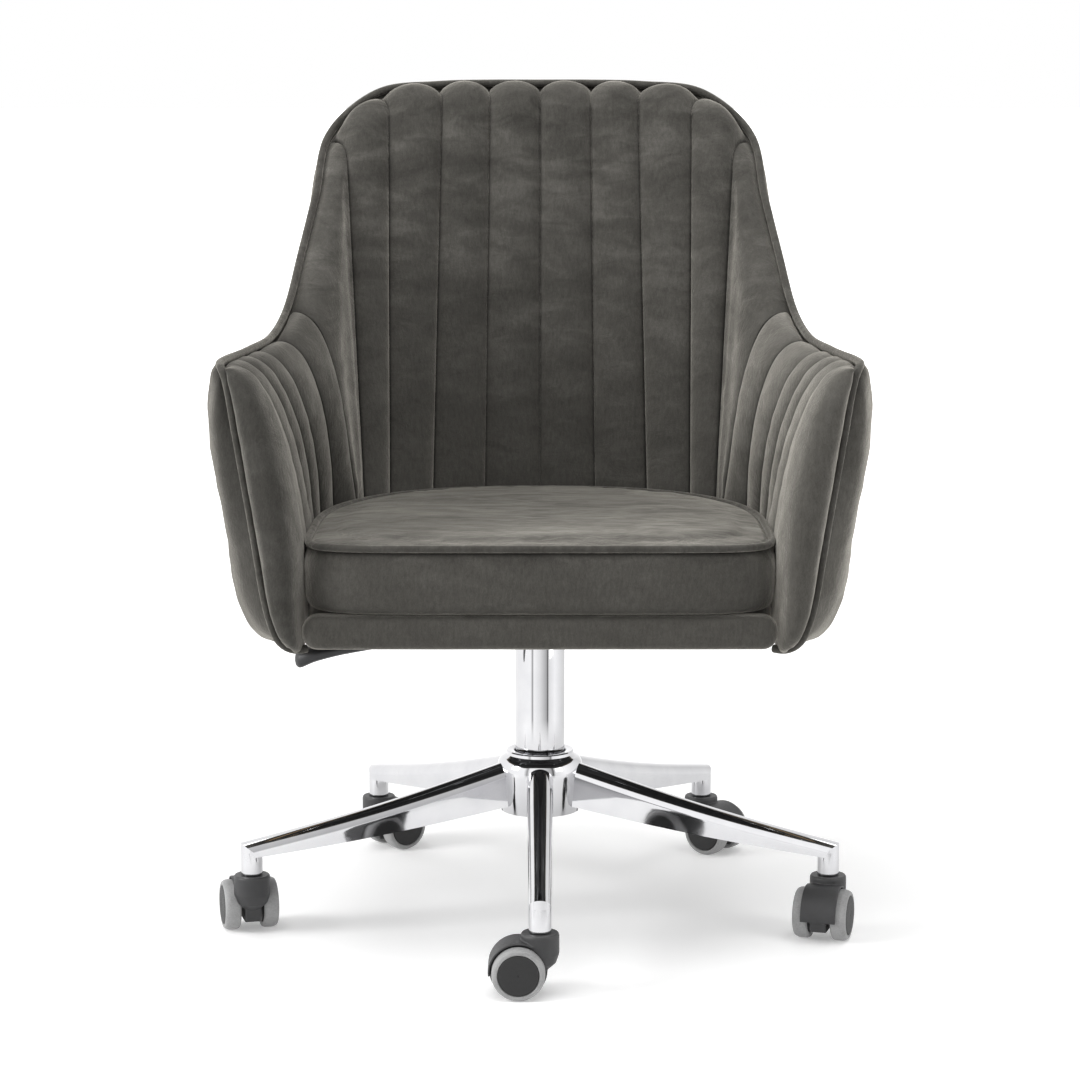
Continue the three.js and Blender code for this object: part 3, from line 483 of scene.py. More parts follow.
def moulded(name, colour, grain=1100, rough=0.5, depth=0.00025):
    """Moulded plastic or rubber with a fine spark-eroded grain."""
    s = Shader(name, Specular_IOR_Level=0.45)
    cells = s.noise(grain, 3.0, 0.65)
    broad = s.noise(60, 3.0)
    dark, light = (tuple(c * k for c in colour) for k in (0.82, 1.2))
    tint = s.ramp(s.blend(cells, 0.5, broad), (0.35, dark), (0.65, light))
    roughness = s.ramp(cells, (0.3, rough - 0.08), (0.7, rough + 0.1))
    return s.set(Base_Color=tint, Roughness=roughness, Normal=s.bump(cells, depth, 0.6))


def brushed():
    """Drawn steel with fine lines along its length."""
    s = Shader("steel_finish", Metallic=1.0)
    lines = s.noise(1400, 3.0, 0.6, 0.0, s.scaled((1, 1, 0.03)))
    tint = s.ramp(lines, (0.3, (0.36, 0.37, 0.38)), (0.7, (0.52, 0.53, 0.54)))
    rough = s.ramp(lines, (0.3, 0.28), (0.7, 0.45))
    return s.set(Base_Color=tint, Roughness=rough, Normal=s.bump(lines, 0.0001, 0.4))


def painted():
    """Black powder coat with an orange-peel surface."""
    s = Shader("black_steel_finish", Specular_IOR_Level=0.5)
    peel = s.noise(420, 3.0, 0.55)
    tint = s.ramp(s.noise(40, 3.0), (0.35, (0.010, 0.010, 0.011)), (0.65, (0.018, 0.018, 0.019)))
    rough = s.ramp(peel, (0.3, 0.38), (0.7, 0.55))
    return s.set(Base_Color=tint, Roughness=rough, Normal=s.bump(peel, 0.0004, 0.5))


def plywood():
    """Birch plywood: long grain on the faces, and plies across the edges."""
    s = Shader("plywood_finish", Roughness=0.65, Specular_IOR_Level=0.3)
    grain = s.noise(26, 5.0, 0.6, 0.6, s.scaled((1, 9, 1)))
    wave = {"Vector": s.place, "Scale": 110.0, "Distortion": 0.6, "Detail": 1.0}
    plies = s.node("TexWave", wave, bands_direction="Z")
    colour = s.ramp(grain, (0.3, (0.36, 0.22, 0.10)), (0.7, (0.56, 0.38, 0.20)))
    colour = s.mix(0.25, colour, s.ramp(plies, (0.2, (0.30, 0.18, 0.09)), (0.8, (0.60, 0.42, 0.24))))
    return s.set(Base_Color=colour, Normal=s.bump(grain, 0.0004, 0.4))


def woven():
    """Black non-woven lining with a coarse weave."""
    s = Shader("lining_finish", Roughness=0.9, Sheen_Weight=0.15, Specular_IOR_Level=0.15)
    wave = {"Vector": s.place, "Scale": 260.0, "Distortion": 0.3}
    warp, weft = (s.node("TexWave", wave, bands_direction=axis) for axis in "XY")
    height = s.math("ADD", warp, weft)
    tint = s.ramp(s.math("MULTIPLY", height, 0.5), (0.2, (0.006, 0.006, 0.006)), (0.9, (0.022, 0.022, 0.022)))
    return s.set(Base_Color=tint, Normal=s.bump(height, 0.0002, 0.6))


VELVET_BACK = velvet("velvet_back", (0.75, 1.0, 1.6), 8.0, 1.02, 0.62, (0.45, 0.80, 0.3))
# Lit and shaded copies of the arm velvet as painted light: the sitter's right arm lighter in colour and
# sheen, as if lit from that side, the left darker, as if in shade.
VELVET_ARM_LIT_AND_SHADED = {
    side: velvet(f"velvet_arm_painted_light_{side}", (1.0, 0.7, 1.2), 11.0, tone_and_side_light, 0.2)
    for side, tone_and_side_light in (("right", 1.25), ("left", 0.74))
}
VELVET_SEAT = velvet("velvet_seat", (0.7, 1.5, 1.6), 11.0, 1.04, 0.5, (0.396, 0.402, 0.3))
VELVET_WELT = velvet("velvet_welt", (1.0, 1.0, 1.0), 30.0, 0.9, 0.3)
CHROME = polished()
NYLON = moulded("caster_nylon_finish", (0.028, 0.028, 0.029))
DISC = moulded("caster_disc_finish", (0.008, 0.0078, 0.008), 900, 0.55)
TYRE = moulded("caster_tyre_finish", (0.28, 0.28, 0.28), 700, 0.55, 0.0001)
BLACK_PLASTIC = moulded("black_plastic_finish", (0.012, 0.012, 0.013), 900, 0.45)
ACETAL = moulded("acetal_finish", (0.66, 0.64, 0.60), 500, 0.4, 0.0001)
RUBBER = moulded("rubber_finish", (0.012, 0.012, 0.012), 600, 0.75)
STEEL = brushed()
BLACK_STEEL = painted()
PLYWOOD = plywood()
LINING = woven()

# ---- the tub wall

RIGHT = np.array(STATIONS, float)
LEFT = RIGHT[:0:-1] * (-1, 1, -1, 1, 1, -1, 1, 1, 1, 1) + (0, 0, 0, 0, 0, 180, 0, 0, 0, 0)
WALLS = np.concatenate([LEFT, RIGHT])
HIDDEN_ROWS = (TUB_BOTTOM, 345, 375)  # rows under the cushion's edge
NOSE_ROWS = (TUB_BOTTOM, 311, 315, 320, 326, 333, 341, 350, 360, 370, 380)  # and down an arm's front
SEEN_FROM = 390  # where the inner face's evenly spaced rows begin


class Wall:
    """The wall at stations from -14 (left arm front) through 0 (middle of the back) to 14."""

    def __init__(self, stations):
        rows = smooth_at(WALLS, np.asarray(stations, float) + LAST_STATION)
        columns = rows.T[:, :, None]
        self.x, self.y, self.rim_x, self.rim_y, self.rim_z = columns[:5]
        heading, self.roll, self.roll_depth, self.wall, self.belly = columns[5:]
        self.out_x, self.out_y = np.cos(np.radians(heading)), np.sin(np.radians(heading))

    def rise(self, z):
        """The share of the way from seat level to the rim."""
        return np.clip((z - SEAT_LEVEL) / (self.rim_z - SEAT_LEVEL), 0, 1)

    def point(self, offset, z):
        """Points at heights, an offset out from the inner face."""
        rise = self.rise(z)
        x = self.x + (self.rim_x - self.out_x * self.roll - self.x) * rise + self.out_x * offset
        y = self.y + (self.rim_y - self.out_y * self.roll - self.y) * rise + self.out_y * offset
        return np.stack([x, y, z + 0 * x], -1)

    def thickness(self, z):
        return self.wall * (1 - WALL_TAPER * (1 - (z - TUB_BOTTOM) / (self.rim_z - TUB_BOTTOM)))

    def inner_face(self, rows, low=HIDDEN_ROWS):
        """Columns of points up the inner face and over its roll to the rim."""
        start = self.rim_z - self.roll_depth
        straight = SEEN_FROM + (start - SEEN_FROM) * np.linspace(0, 1, 40)
        turn = np.radians(np.linspace(0, 89.5, 60)[1:])
        power = 2 / ROLL_FULLNESS
        z = np.concatenate([straight, start + self.roll_depth * np.sin(turn) ** power], axis=1)
        rolled = np.concatenate([0 * straight, self.roll * (1 - np.cos(turn) ** power)], axis=1)
        fine = self.point(rolled + self.belly * (1 - self.rise(z)) ** 2, z)
        seen = np.stack([spaced(column, rows) for column in fine])
        low = self.point(self.belly, np.array([low], float) + 0 * self.x)
        return np.concatenate([low, seen], axis=1)

    def foot_inset(self, z):
        """How far the foot draws in below seat level."""
        low = np.clip((TUB_BOTTOM + FOOT - z) / FOOT, 0, 1)
        return FOOT_INSET * np.clip((self.wall - 40) / 46, 0, 1) * low**OUTER_CURVE

    def outer_face(self, rows):
        """Columns of points from the foot up the outer face and over its shoulder to the rim."""
        z = TUB_BOTTOM + (self.rim_z - 0.4 - TUB_BOTTOM) * np.linspace(0, 1, 120)
        q = np.clip((z - (self.rim_z - SHOULDER)) / SHOULDER, 0, 1)
        top_inset = (self.wall - self.roll - RIM_GAP) * q**OUTER_CURVE
        under = np.clip((TUB_BOTTOM + FOOT_ROUND_HEIGHT - z) / FOOT_ROUND_HEIGHT, 0, 1)
        turned_under = FOOT_ROUND * (1 - np.sqrt(1 - under**2))
        fine = self.point(self.thickness(z) - top_inset - self.foot_inset(z) - turned_under, z)
        return np.stack([spaced(column, rows) for column in fine])

    def lining(self, face, distance, at_rim):
        """The hidden face behind a face: on the frame, and then up into the rim."""
        z = face[:, :, 2]
        top = self.rim_z - RIM_DROP
        z = TUB_BOTTOM + (z - TUB_BOTTOM) / (z[:, -1:] - TUB_BOTTOM) * (top - TUB_BOTTOM)
        frame_top = self.rim_z - FRAME_DROP
        on_frame = self.thickness(np.minimum(z, frame_top)) - FRAME_FOOT_SHARE * self.foot_inset(z) - distance
        above = np.clip((z - frame_top) / (FRAME_DROP - RIM_DROP), 0, 1)
        return self.point(on_frame + (self.roll + at_rim - on_frame) * above, z)

    def inner_lining(self, face):
        return self.lining(face, OUTER_PAD + FRAME_THICKNESS + LINING_GAP, RIM_GAP / 2 - RIM_LINING)

    def outer_lining(self, face):
        return self.lining(face, OUTER_PAD, RIM_GAP / 2 + RIM_LINING)


def normals_of(points, away_from):
    """Unit normals of a grid of points, on the side away from another grid."""
    across = np.gradient(points, axis=0)
    along = np.gradient(points, axis=1)
    normals = np.cross(across, along)
    normals /= np.maximum(np.linalg.norm(normals, axis=2), 1e-9)[:, :, None]
    facing = np.sign((normals * (points - away_from)).sum(axis=2))
    return normals * np.where(facing == 0, 1, facing)[:, :, None]


def distances(points, axis):
    """How far each point of a grid is along its row (axis 0) or its column (axis 1)."""
    steps = np.cumsum(np.linalg.norm(np.diff(points, axis=axis), axis=2), axis=axis)
    return np.concatenate([0 * steps.take([0], axis), steps], axis=axis)


# Width in millimetres of the painted shade along each seam.
CREASE_SHADE_WIDTH = 1.1
FULL_DEPTH_WIDTH = 45  # a narrower channel swells less
TOP_ROUND = 16  # a channel swells less this near to its top


def padded_face(points, back, panels, recess, seed, scallop=0.0):
    """Swells a face between its seams. Panels are (first column, last column, depth, power);
    the result is the face and how close each point is to a seam, which sets the painted shade in its creases."""
    across = distances(points, 0)
    normals = normals_of(points, back)
    swell = np.zeros(points.shape[:2])
    seam_shade = np.zeros(points.shape[:2])
    fullness = np.zeros(points.shape[:2])
    for first, last, depth, power in panels:
        part = slice(first, last + 1)
        width = across[last] - across[first]
        t = (across[part] - across[first]) / width
        full = np.clip(1 - np.abs(2 * t - 1) ** power, 0, 1) ** 0.62
        swell[part] = np.maximum(swell[part], depth * full * np.minimum(1, width / FULL_DEPTH_WIDTH))
        fullness[part] = np.maximum(fullness[part], full)
        near = np.minimum(t, 1 - t) * width
        # Painted shade: a narrow dark band along each seam.
        seam_shade[part] = np.maximum(seam_shade[part], np.exp(-((near / CREASE_SHADE_WIDTH) ** 2)))
    up = distances(points, 1)
    to_top = up[:, -1:] - up
    taper = np.sqrt(1 - (1 - np.clip(to_top / TOP_ROUND, 0, 1)) ** 2)
    lively = 1 + 0.10 * cloud(points, 90, seed) + 0.05 * cloud(points, 34, seed + 1)
    crumple = 0.9 * cloud(points * (1, 1, 1.6), 26, seed + 2) * fullness
    swell = swell * lively * (0.25 + 0.75 * taper) + crumple - recess
    result = points + normals * swell[:, :, None]
    result[:, :, 2] -= scallop * (1 - fullness) * ease(1 - to_top / 42)
    return result, seam_shade


def channel_stations(seams, per_channel):
    """Stations across each channel, closer together towards its seams, and the seams' columns."""
    t = 0.5 - 0.5 * np.cos(np.linspace(0, math.pi, per_channel + 1))
    stations = [seams[0]]
    for first, last in zip(seams, seams[1:]):
        stations.extend(first + (last - first) * t[1:])
    return np.array(stations), [i * per_channel for i in range(len(seams))]


def upholstered(name, part, seam_shade, material, node):
    """A padded piece of the seat from its (points, faces), with painted shade in the creases at its seams.
    Seam shade values are for the first points; the others are on its hidden side."""
    painted_crease_shade = np.zeros(len(part[0]))
    painted_crease_shade[: seam_shade.size] = seam_shade.reshape(-1)
    piece = make_piece(name, part, material, "seat", [node], 60, painted_crease_shade)


def build_back():
    end = BACK_SEAM - 0.04
    stations, at = channel_stations([-end, -4, -3, -2, -1, 0, 1, 2, 3, 4, end], 16)
    wall = Wall(stations)
    face = wall.inner_face(84)
    back = wall.inner_lining(face)
    wing = (4, 4.0)
    shapes = [wing] + [(10, 2.0)] * 8 + [wing]
    panels = [(a, b, *shape) for a, b, shape in zip(at, at[1:], shapes)]
    front, seam_shade = padded_face(face, back, panels, 3.5, 1, scallop=6)
    upholstered("back_cushion", slab(front, back), seam_shade, VELVET_BACK, "back_pad")

    stations = np.linspace(-end, end, 90)
    wall = Wall(stations)
    face = wall.outer_face(60)
    back = wall.outer_lining(face)
    front, seam_shade = padded_face(face, back, [(0, len(stations) - 1, 3, 14.0)], 2.5, 11)
    upholstered("back_cover", slab(front, back), seam_shade, VELVET_BACK, "outer_back")


def at_height(table, z):
    """Rows of a table at heights, where the last entry of each row is its height."""
    table = np.array(table, float)
    return np.stack([np.interp(z, table[:, -1], table[:, axis]) for axis in range(table.shape[1])], -1)


def nose_edges(column):
    """The front welt's points beside the rows of an arm's last column."""
    top = NOSE_EDGE[-1][2]
    z = TUB_BOTTOM + (column[:, 2] - TUB_BOTTOM) / (column[-1, 2] - TUB_BOTTOM) * (top - TUB_BOTTOM)
    return at_height(NOSE_EDGE, z)


FOOT_LIFT, LIFT_FROM_Y, LIFT_RUN, LIFT_HEIGHT = 5.5, -130, 80, 45


def lift_foot(*grids):
    """The foot of an arm's front stands a little higher than the rest of the tub."""
    for points in grids:
        forward = ease((LIFT_FROM_Y - points[:, :, 1]) / LIFT_RUN)
        low = np.clip(1 - (points[:, :, 2] - TUB_BOTTOM) / LIFT_HEIGHT, 0, 1)
        points[:, :, 2] += FOOT_LIFT * (forward * low)


def arm_pad():
    """The right arm's inner pad: channels, then a wide plain pad round the nose to the welt."""
    seams = [BACK_SEAM + 0.01, 8, 9, 10, 11, 12.5]
    stations, at = channel_stations(seams, 14)
    to_front = ease(np.linspace(0, 1, 21)[1:]) ** 0.9
    stations = np.concatenate([stations, seams[-1] + (LAST_STATION - seams[-1]) * to_front])
    wall = Wall(stations)
    face = wall.inner_face(64, NOSE_ROWS)
    back = wall.inner_lining(face)
    last = face[-1]
    edges = nose_edges(last)
    front_y = at_height(NOSE_FRONT, edges[:, 2])[:, 0]
    width = edges[:, 0] - last[:, 0]
    inner = np.stack([last[:, 0] + 0.24 * width, front_y + 3.5, last[:, 2]], -1)
    outer = np.stack([last[:, 0] + 0.68 * width, front_y + 2.5, last[:, 2]], -1)
    ends = edges + (-3.2, -4.4, 0)
    ends[:, 2] = last[:, 2]
    before = Wall([LAST_STATION - 1.0]).inner_face(64, NOSE_ROWS)[0]
    steps = np.linspace(1, 4, 37)[1:]
    nose = smooth_at(np.stack([before, last, inner, outer, ends]), steps)
    nose_back = []
    for k in np.linspace(0.35, 0.72, len(steps)):
        column = last + (edges - last) * k
        column[:, 1] = np.maximum(edges[:, 1] + 7, last[:, 1] + 5)
        column[:, 2] = np.minimum(column[:, 2], last[-1, 2] - RIM_DROP * (column[:, 2] > last[-1, 2] - 60))
        nose_back.append(column)
    face = np.concatenate([face, nose])
    back = np.concatenate([back, np.stack(nose_back)])
    panels = [(a, b, 5.5, 2.0) for a, b in zip(at, at[1:])]
    panels.append((at[-1], len(face) - 1, 4.0, 12.0))
    flush = ease((np.arange(len(face)) - at[-1] - 2) / 12)[:, None]  # the nose meets the welt without a dip
    front, seam_shade = padded_face(face, back, panels, 2.5 * (1 - flush), 5, scallop=2.5)
    seam_shade[at[-1] + 3:] = 0
    lift_foot(front, back)
    return slab(front, back), seam_shade


def outer_arm():
    """The right arm's outer panel, from the front welt back to the arm's seam."""
    stations = np.linspace(BACK_SEAM + 0.01, LAST_STATION - 1, 56)
    wall = Wall(stations)
    face = wall.outer_face(56)
    back = wall.outer_lining(face)
    last, last_back = face[-1], back[-1]
    edges = nose_edges(last)
    rows = np.arange(len(last)) / (len(last) - 1)
    bulge = 9 * np.sin(math.pi * rows) ** 0.5
    middle = last + (edges - last) * 0.55 + bulge[:, None] * (1, -1, 0)
    middle_back = last_back + (edges - last_back) * 0.5 + (-1, 4, 0)
    before = Wall([LAST_STATION - 2.0]).outer_face(56)[0]
    steps = np.linspace(1, 3, 25)[1:]
    turn = smooth_at(np.stack([before, last, middle, edges + (3.6, 4.2, 0)]), steps)
    turn_back = smooth_at(np.stack([last_back, middle_back, edges + (-1, 9, 0)]), steps - 1)
    face = np.concatenate([face, turn])
    back = np.concatenate([back, turn_back])
    front, seam_shade = padded_face(face, back, [(0, len(face) - 1, 3, 12.0)], 2.0, 21)
    seam_shade[-30:] = 0
    lift_foot(front, back)
    return slab(front, back), seam_shade


def build_arms():
    for side, flip in (("right", False), ("left", True)):
        for kind, node, (part, seam_shade), fill in (
            ("arm_cushion", "arm_pad", arm_pad(), 0.8),
            ("arm_cover", "outer_arm", outer_arm(), 0.5),
        ):
            part = mirrored(part) if flip else part
            upholstered(f"{kind}_{side}", part, seam_shade, VELVET_ARM_LIT_AND_SHADED[side], f"{node}_{side}")


ARM_CORNER = (293, -216, 573)  # where the front welt meets the rim's


def build_rim_welt():
    stations = np.linspace(-LAST_STATION, LAST_STATION, 281)
    wall = Wall(stations)
    over = wall.point(wall.roll + RIM_GAP / 2, wall.rim_z + 0.8)[:, 0]
    tail = [(219, -228, 313), (224, -233, 312.5), (232, -237, 313.5)]
    nose = smoothed(tail + NOSE_EDGE[1:], 60)
    path = np.concatenate([nose * (-1, 1, 1), over, nose[::-1]])
    path = spaced(path, 520)
    corner = np.linalg.norm(np.abs(path) - ARM_CORNER, axis=1)
    local = 0.25 + 0.75 * np.exp(-((corner / 24) ** 2))[:, None]
    for _ in range(14):
        path[1:-1] += local[1:-1] * (path[:-2] - 2 * path[1:-1] + path[2:]) / 4
    welt = loft(tube_rings(path, PIPING_RADIUS, 14))
    make_piece("rim_welt", welt, VELVET_WELT, "seat", ["rim_piping"], 80)


# ---- the seat


def even_outline(inset, z, count=200, front_inset=None):
    """The seat's outline, drawn in by an inset: a deep rounded back and a squarer front. Its points are
    evenly spaced and start at the middle of the front."""
    front_inset = inset if front_inset is None else front_inset
    angle = np.arange(1440) / 1440 * 2 * math.pi
    back = np.sin(angle) >= 0
    exponent = np.where(back, 2 / SEAT_BACK_FULLNESS, 2 / SEAT_FRONT_FULLNESS)
    depth = np.where(back, SEAT_BACK_DEPTH - inset, SEAT_FRONT_DEPTH - front_inset)
    x = (SEAT_HALF_WIDTH - inset) * signed_power(np.cos(angle), exponent)
    y = SEAT_MIDDLE_Y + depth * signed_power(np.sin(angle), exponent)
    ring = np.stack([x, y, np.full(len(x), float(z))], -1)
    start = np.argmin(ring[:, 1] * 1000 + np.abs(ring[:, 0]))
    ring = np.roll(ring, -start, axis=0)
    return spaced(np.concatenate([ring, ring[:1]]), count + 1)[:-1]


def risen(points):
    """Raises a cushion's points towards the front, the higher they are."""
    share = (SEAT_MIDDLE_Y + SEAT_BACK_DEPTH - points[..., 1]) / (SEAT_BACK_DEPTH + SEAT_FRONT_DEPTH)
    high = np.clip((points[..., 2] - CUSHION_BOTTOM) / CUSHION_WALL, 0, 1)
    points[..., 2] += CUSHION_RISE * share * high
    return points


def build_cushion():
    # insets from the seat's outline and heights, up the wall, over the welt's groove and across the top
    profile = [(15, 348.6), (8.5, 350.6), (5, 355.5), (3.4, 364), (2.8, 376), (3.0, 385), (4.2, 393)]
    profile += [(6.6, 399.5), (10.4, 402.6), (12, 405.2), (15, 406.8), (24, 408.2), (38, 409.4), (55, 410.4)]
    profile += [(80, 411.3), (110, 412.0), (140, 412.4), (165, 412.5)]
    fine = smoothed(profile, 60)
    insets, levels = fine.T
    rings = [even_outline(CORE_INSET, z, front_inset=RAIL_SPACE) for z in (CORE_BOTTOM, CORE_TOP)]
    rings = np.array(rings + [even_outline(inset, z) for inset, z in fine])
    count = rings.shape[1]
    flat = rings.reshape(-1, 3)
    wide, narrow = (cloud(flat * (0.7, 1.4, 1), scale, seed) for scale, seed in ((55, 31), (22, 32)))
    flat[:, 2] += (0.8 * wide + 0.4 * narrow) * ease((flat[:, 2] - CUSHION_FACE) / 3)
    part = loft(risen(rings))
    # Painted shade: a dark line in the welt's groove, another just inside the welt on the top, and one at the
    # cushion's foot.
    welt_and_foot_shade = 0.9 * np.exp(-(((levels - 401.4) / 2.4) ** 2)) + np.exp(-(((levels - 347) / 5) ** 2))
    welt_and_foot_shade += 0.8 * np.exp(-(((insets - 12.2) / 1.6) ** 2)) * (levels > CUSHION_EDGE)
    seam_shade = np.concatenate([np.repeat(np.concatenate([[0, 0], welt_and_foot_shade]), count), [0, 0]])
    cushion = make_piece("seat_pad", part, VELVET_SEAT, "seat", ["seat_cushion"], 60, seam_shade)
    from_edge = np.concatenate([[0, 0], insets * (levels > CUSHION_EDGE)])
    held = np.ones(len(part[0]))
    held[: len(flat)] = 1 - ease((np.repeat(from_edge, count) - 14) / 30)
    held[-1] = held[-2] = 0
    swollen(cushion, held, 3)

    path = risen(even_outline(6.8, 404.5, 360))
    welt = loft(tube_rings(path, 3.6, 12, wraps=True), wraps=True)
    make_piece("seat_welt", welt, VELVET_WELT, "seat", ["cushion_piping"], 80)


def build_rail():
    """A padded bar with rounded ends between the arms, in front of the cushion's core."""
    sides, shoulder, end = 40, 200, RAIL_HALF_LENGTH
    angles = np.arange(sides) / sides * 2 * math.pi
    rings = []
    for x in np.concatenate(
        [np.linspace(-end, -shoulder, 12), np.linspace(-194, 194, 61), np.linspace(shoulder, end, 12)]
    ):
        scale = math.sqrt(max(1 - np.clip((abs(x) - 205) / 16.5, 0, 1) ** 2.4, 0.02))
        y = RAIL_Y + RAIL_HALF_DEPTH * scale * signed_power(np.cos(angles), 0.55)
        z = RAIL_Z + RAIL_HALF_HEIGHT * scale * signed_power(np.sin(angles), 0.55)
        rings.append(np.stack([np.full(sides, x), y, z], -1))
    rings = np.array(rings)
    rings[:, :, 1] -= 0.8 * cloud(rings * (1, 1, 0.6), 45, 41) * (rings[:, :, 1] < RAIL_Y + 2)
    part = loft(rings)
    # Painted shade in the gap under the cushion's edge.
    gap_shade = np.exp(-(((part[0][:, 2] - 349.5) / 3.2) ** 2))  # dark under the cushion
    upholstered("front_rail", part, gap_shade, VELVET_SEAT, "seat_apron")


def build_dust_cover():
    """Lining stapled under the board, with a hole for the plate's pan."""
    count = 96
    rim = even_outline(LINING_INSET, 0, count, front_inset=RAIL_SPACE)[:, :2]
    angle = np.arctan2(rim[:, 1], rim[:, 0])
    hole = PAN_OPENING * np.stack([np.cos(angle), np.sin(angle)], -1)
    rings = []
    for level in (0, 1):
        for t in np.linspace(0, 1, 12)[:: 1 if level else -1]:
            z = LINING_LEVEL + LINING_THICKNESS * level - LINING_SAG * math.sin(math.pi * t) ** 2
            rings.append(np.column_stack([hole + (rim - hole) * t, np.full(count, z)]))
    cover = make_piece("dust_lining", loft(rings, wraps=True), LINING, "seat", ["dust_cover"], 50)
    area = 0.0
    for a, b in zip(rim, np.roll(rim, -1, axis=0)):
        area += (a[0] * b[1] - a[1] * b[0]) / 2
    area = (area - math.pi * PAN_OPENING**2) * MM * MM


# ---- the base


def leg_turn(i):
    """The direction of a leg; the first points to the front."""
    return math.radians(-90 + 360 / LEG_COUNT * i)


def build_base():
    bore = COLUMN_RADIUS + 0.25
    hub = [(bore, HUB_BOTTOM), (39.5, HUB_BOTTOM), (41.4, 121), (43.3, 143)]
    for angle in np.linspace(0, 90, 12)[:-1]:
        a = math.radians(angle)
        hub.append((35.6 + 7.9 * math.cos(a), 147 + 13.2 * math.sin(a)))
    hub += [(34, 162), (34, 165), (33, HUB_TOP), (28, HUB_TOP), (26.6, 165.4), (bore, 162)]
    make_piece("hub_shell", turned(hub, 128), CHROME, "base", ["base_hub"], 32)

    column = [(6.5, HUB_BOTTOM + 1.2), (24.2, HUB_BOTTOM + 1.2), (COLUMN_RADIUS, 106.5)]
    column += [(COLUMN_RADIUS, COLUMN_TOP - 1), (24.7, COLUMN_TOP - 0.2), (24.2, COLUMN_TOP)]
    column += [(23.4, COLUMN_TOP - 0.3), (23.4, 109), (6.5, 109)]
    make_piece("column_sleeve", turned(column, 128), CHROME, "base", ["column_tube"], 32)

    points, faces = leg()
    x, y, z = points.T
    for i in range(LEG_COUNT):
        c, s = math.cos(leg_turn(i)), math.sin(leg_turn(i))
        part = np.stack([x * c - y * s, x * s + y * c, z], -1), faces
        make_piece(f"leg_shell_{i + 1}", part, CHROME, "base", [f"leg_{i + 1}"], 32)


def leg():
    """One leg along +X: an arched channel, mitred onto the round socket for the caster stem."""
    root, tip = 36.0, BASE_RADIUS
    socket_joint = 74  # how far down the leg's wall reaches round the socket
    arch = np.radians(np.linspace(0, 180, 33))
    side = np.linspace(0, 1, 6)[:-1]

    def section(r, inset):
        t = (r - 34) / 270
        half = 13.5 - 2.8 * t - inset
        top = 156.5 - 63 * t - 4 * math.sin(math.pi * t) - inset
        bottom = 112 - 34 * t - 3 * math.sin(math.pi * t)
        shoulder = top - half
        wall = bottom + (shoulder - bottom) * side
        y = np.concatenate([np.full(5, half), half * np.cos(arch), np.full(5, -half)])
        z = np.concatenate([wall, shoulder + half * np.sin(arch), wall[::-1]])
        return np.stack([np.full(len(y), r), y, z], -1)

    def mitred(inset):
        """The last section, wrapped half round the socket."""
        ring = section(tip, inset)
        half = ring[5, 1]
        reach = np.sqrt(np.maximum(half**2 - ring[:, 1] ** 2, 0))
        for k, (r, point) in enumerate(zip(tip + reach, ring)):
            on_slope = section(r, inset)
            ring[k] = (r, point[1], np.interp(k, range(len(ring)), on_slope[:, 2]))
        return ring

    stops = np.linspace(root, tip - 12, 30)
    outer = np.array([section(r, 0) for r in stops] + [mitred(0)])
    inner = np.array([section(r, LEG_WALL) for r in stops] + [mitred(LEG_WALL)])
    shell = slab(outer, inner)
    half = outer[-1, 5, 1]
    wall_columns = range(5, 5 + len(arch))
    front, hidden = [], []
    for k in wall_columns:
        front.append([outer[-1, k], (*outer[-1, k, :2], socket_joint)])
        hidden.append([(*inner[-1, k, :2], outer[-1, k, 2] - 1.2), (*inner[-1, k, :2], socket_joint)])
    mitre = slab(np.array(front), np.array(hidden))
    bore = STEM_RADIUS + 0.25
    profile = rounded([(bore, SOCKET_BOTTOM), (half, SOCKET_BOTTOM), (half, 84), (bore, 84)], 0.7)
    socket_points, socket_faces = turned(profile, 56)
    socket_points[:, 0] += BASE_RADIUS
    return joined(shell, mitre, (socket_points, socket_faces))


def solid(name, points, faces):
    """A plain object to cut or join with."""
    mesh = bpy.data.meshes.new(name)
    mesh.from_pydata([tuple(p) for p in np.asarray(points) * MM], [], faces)
    return added(name, mesh)


def block(polygon, y0, y1):
    """A prism between two y planes from an outline in x and z."""
    rings = [[(x, y, z) for x, z in polygon] for y in (y0, y1)]
    count = len(polygon)
    points = np.array(rings).reshape(-1, 3)
    faces = [tuple(range(count))[::-1], tuple(range(count, 2 * count))]
    faces += [(j, (j + 1) % count, count + (j + 1) % count, count + j) for j in range(count)]
    return points, faces


def combine(base, operation, tool):
    """Cuts or joins a solid with another, which is used up."""
    modifier = base.modifiers.new("combine", "BOOLEAN")
    modifier.operation = operation
    modifier.object = tool
    modifier.solver = "EXACT"
    baked(base)
    bpy.data.objects.remove(tool)


def baked(piece):
    """Applies a piece's modifiers."""
    shaped = evaluated(piece)
    piece.modifiers.clear()
    piece.data = shaped


def arc(radius, start, end, steps, centre):
    """Points of an arc between two angles in degrees."""
    angles = np.radians(np.linspace(start, end, steps))
    return [(centre[0] + radius * math.cos(a), centre[1] + radius * math.sin(a)) for a in angles]


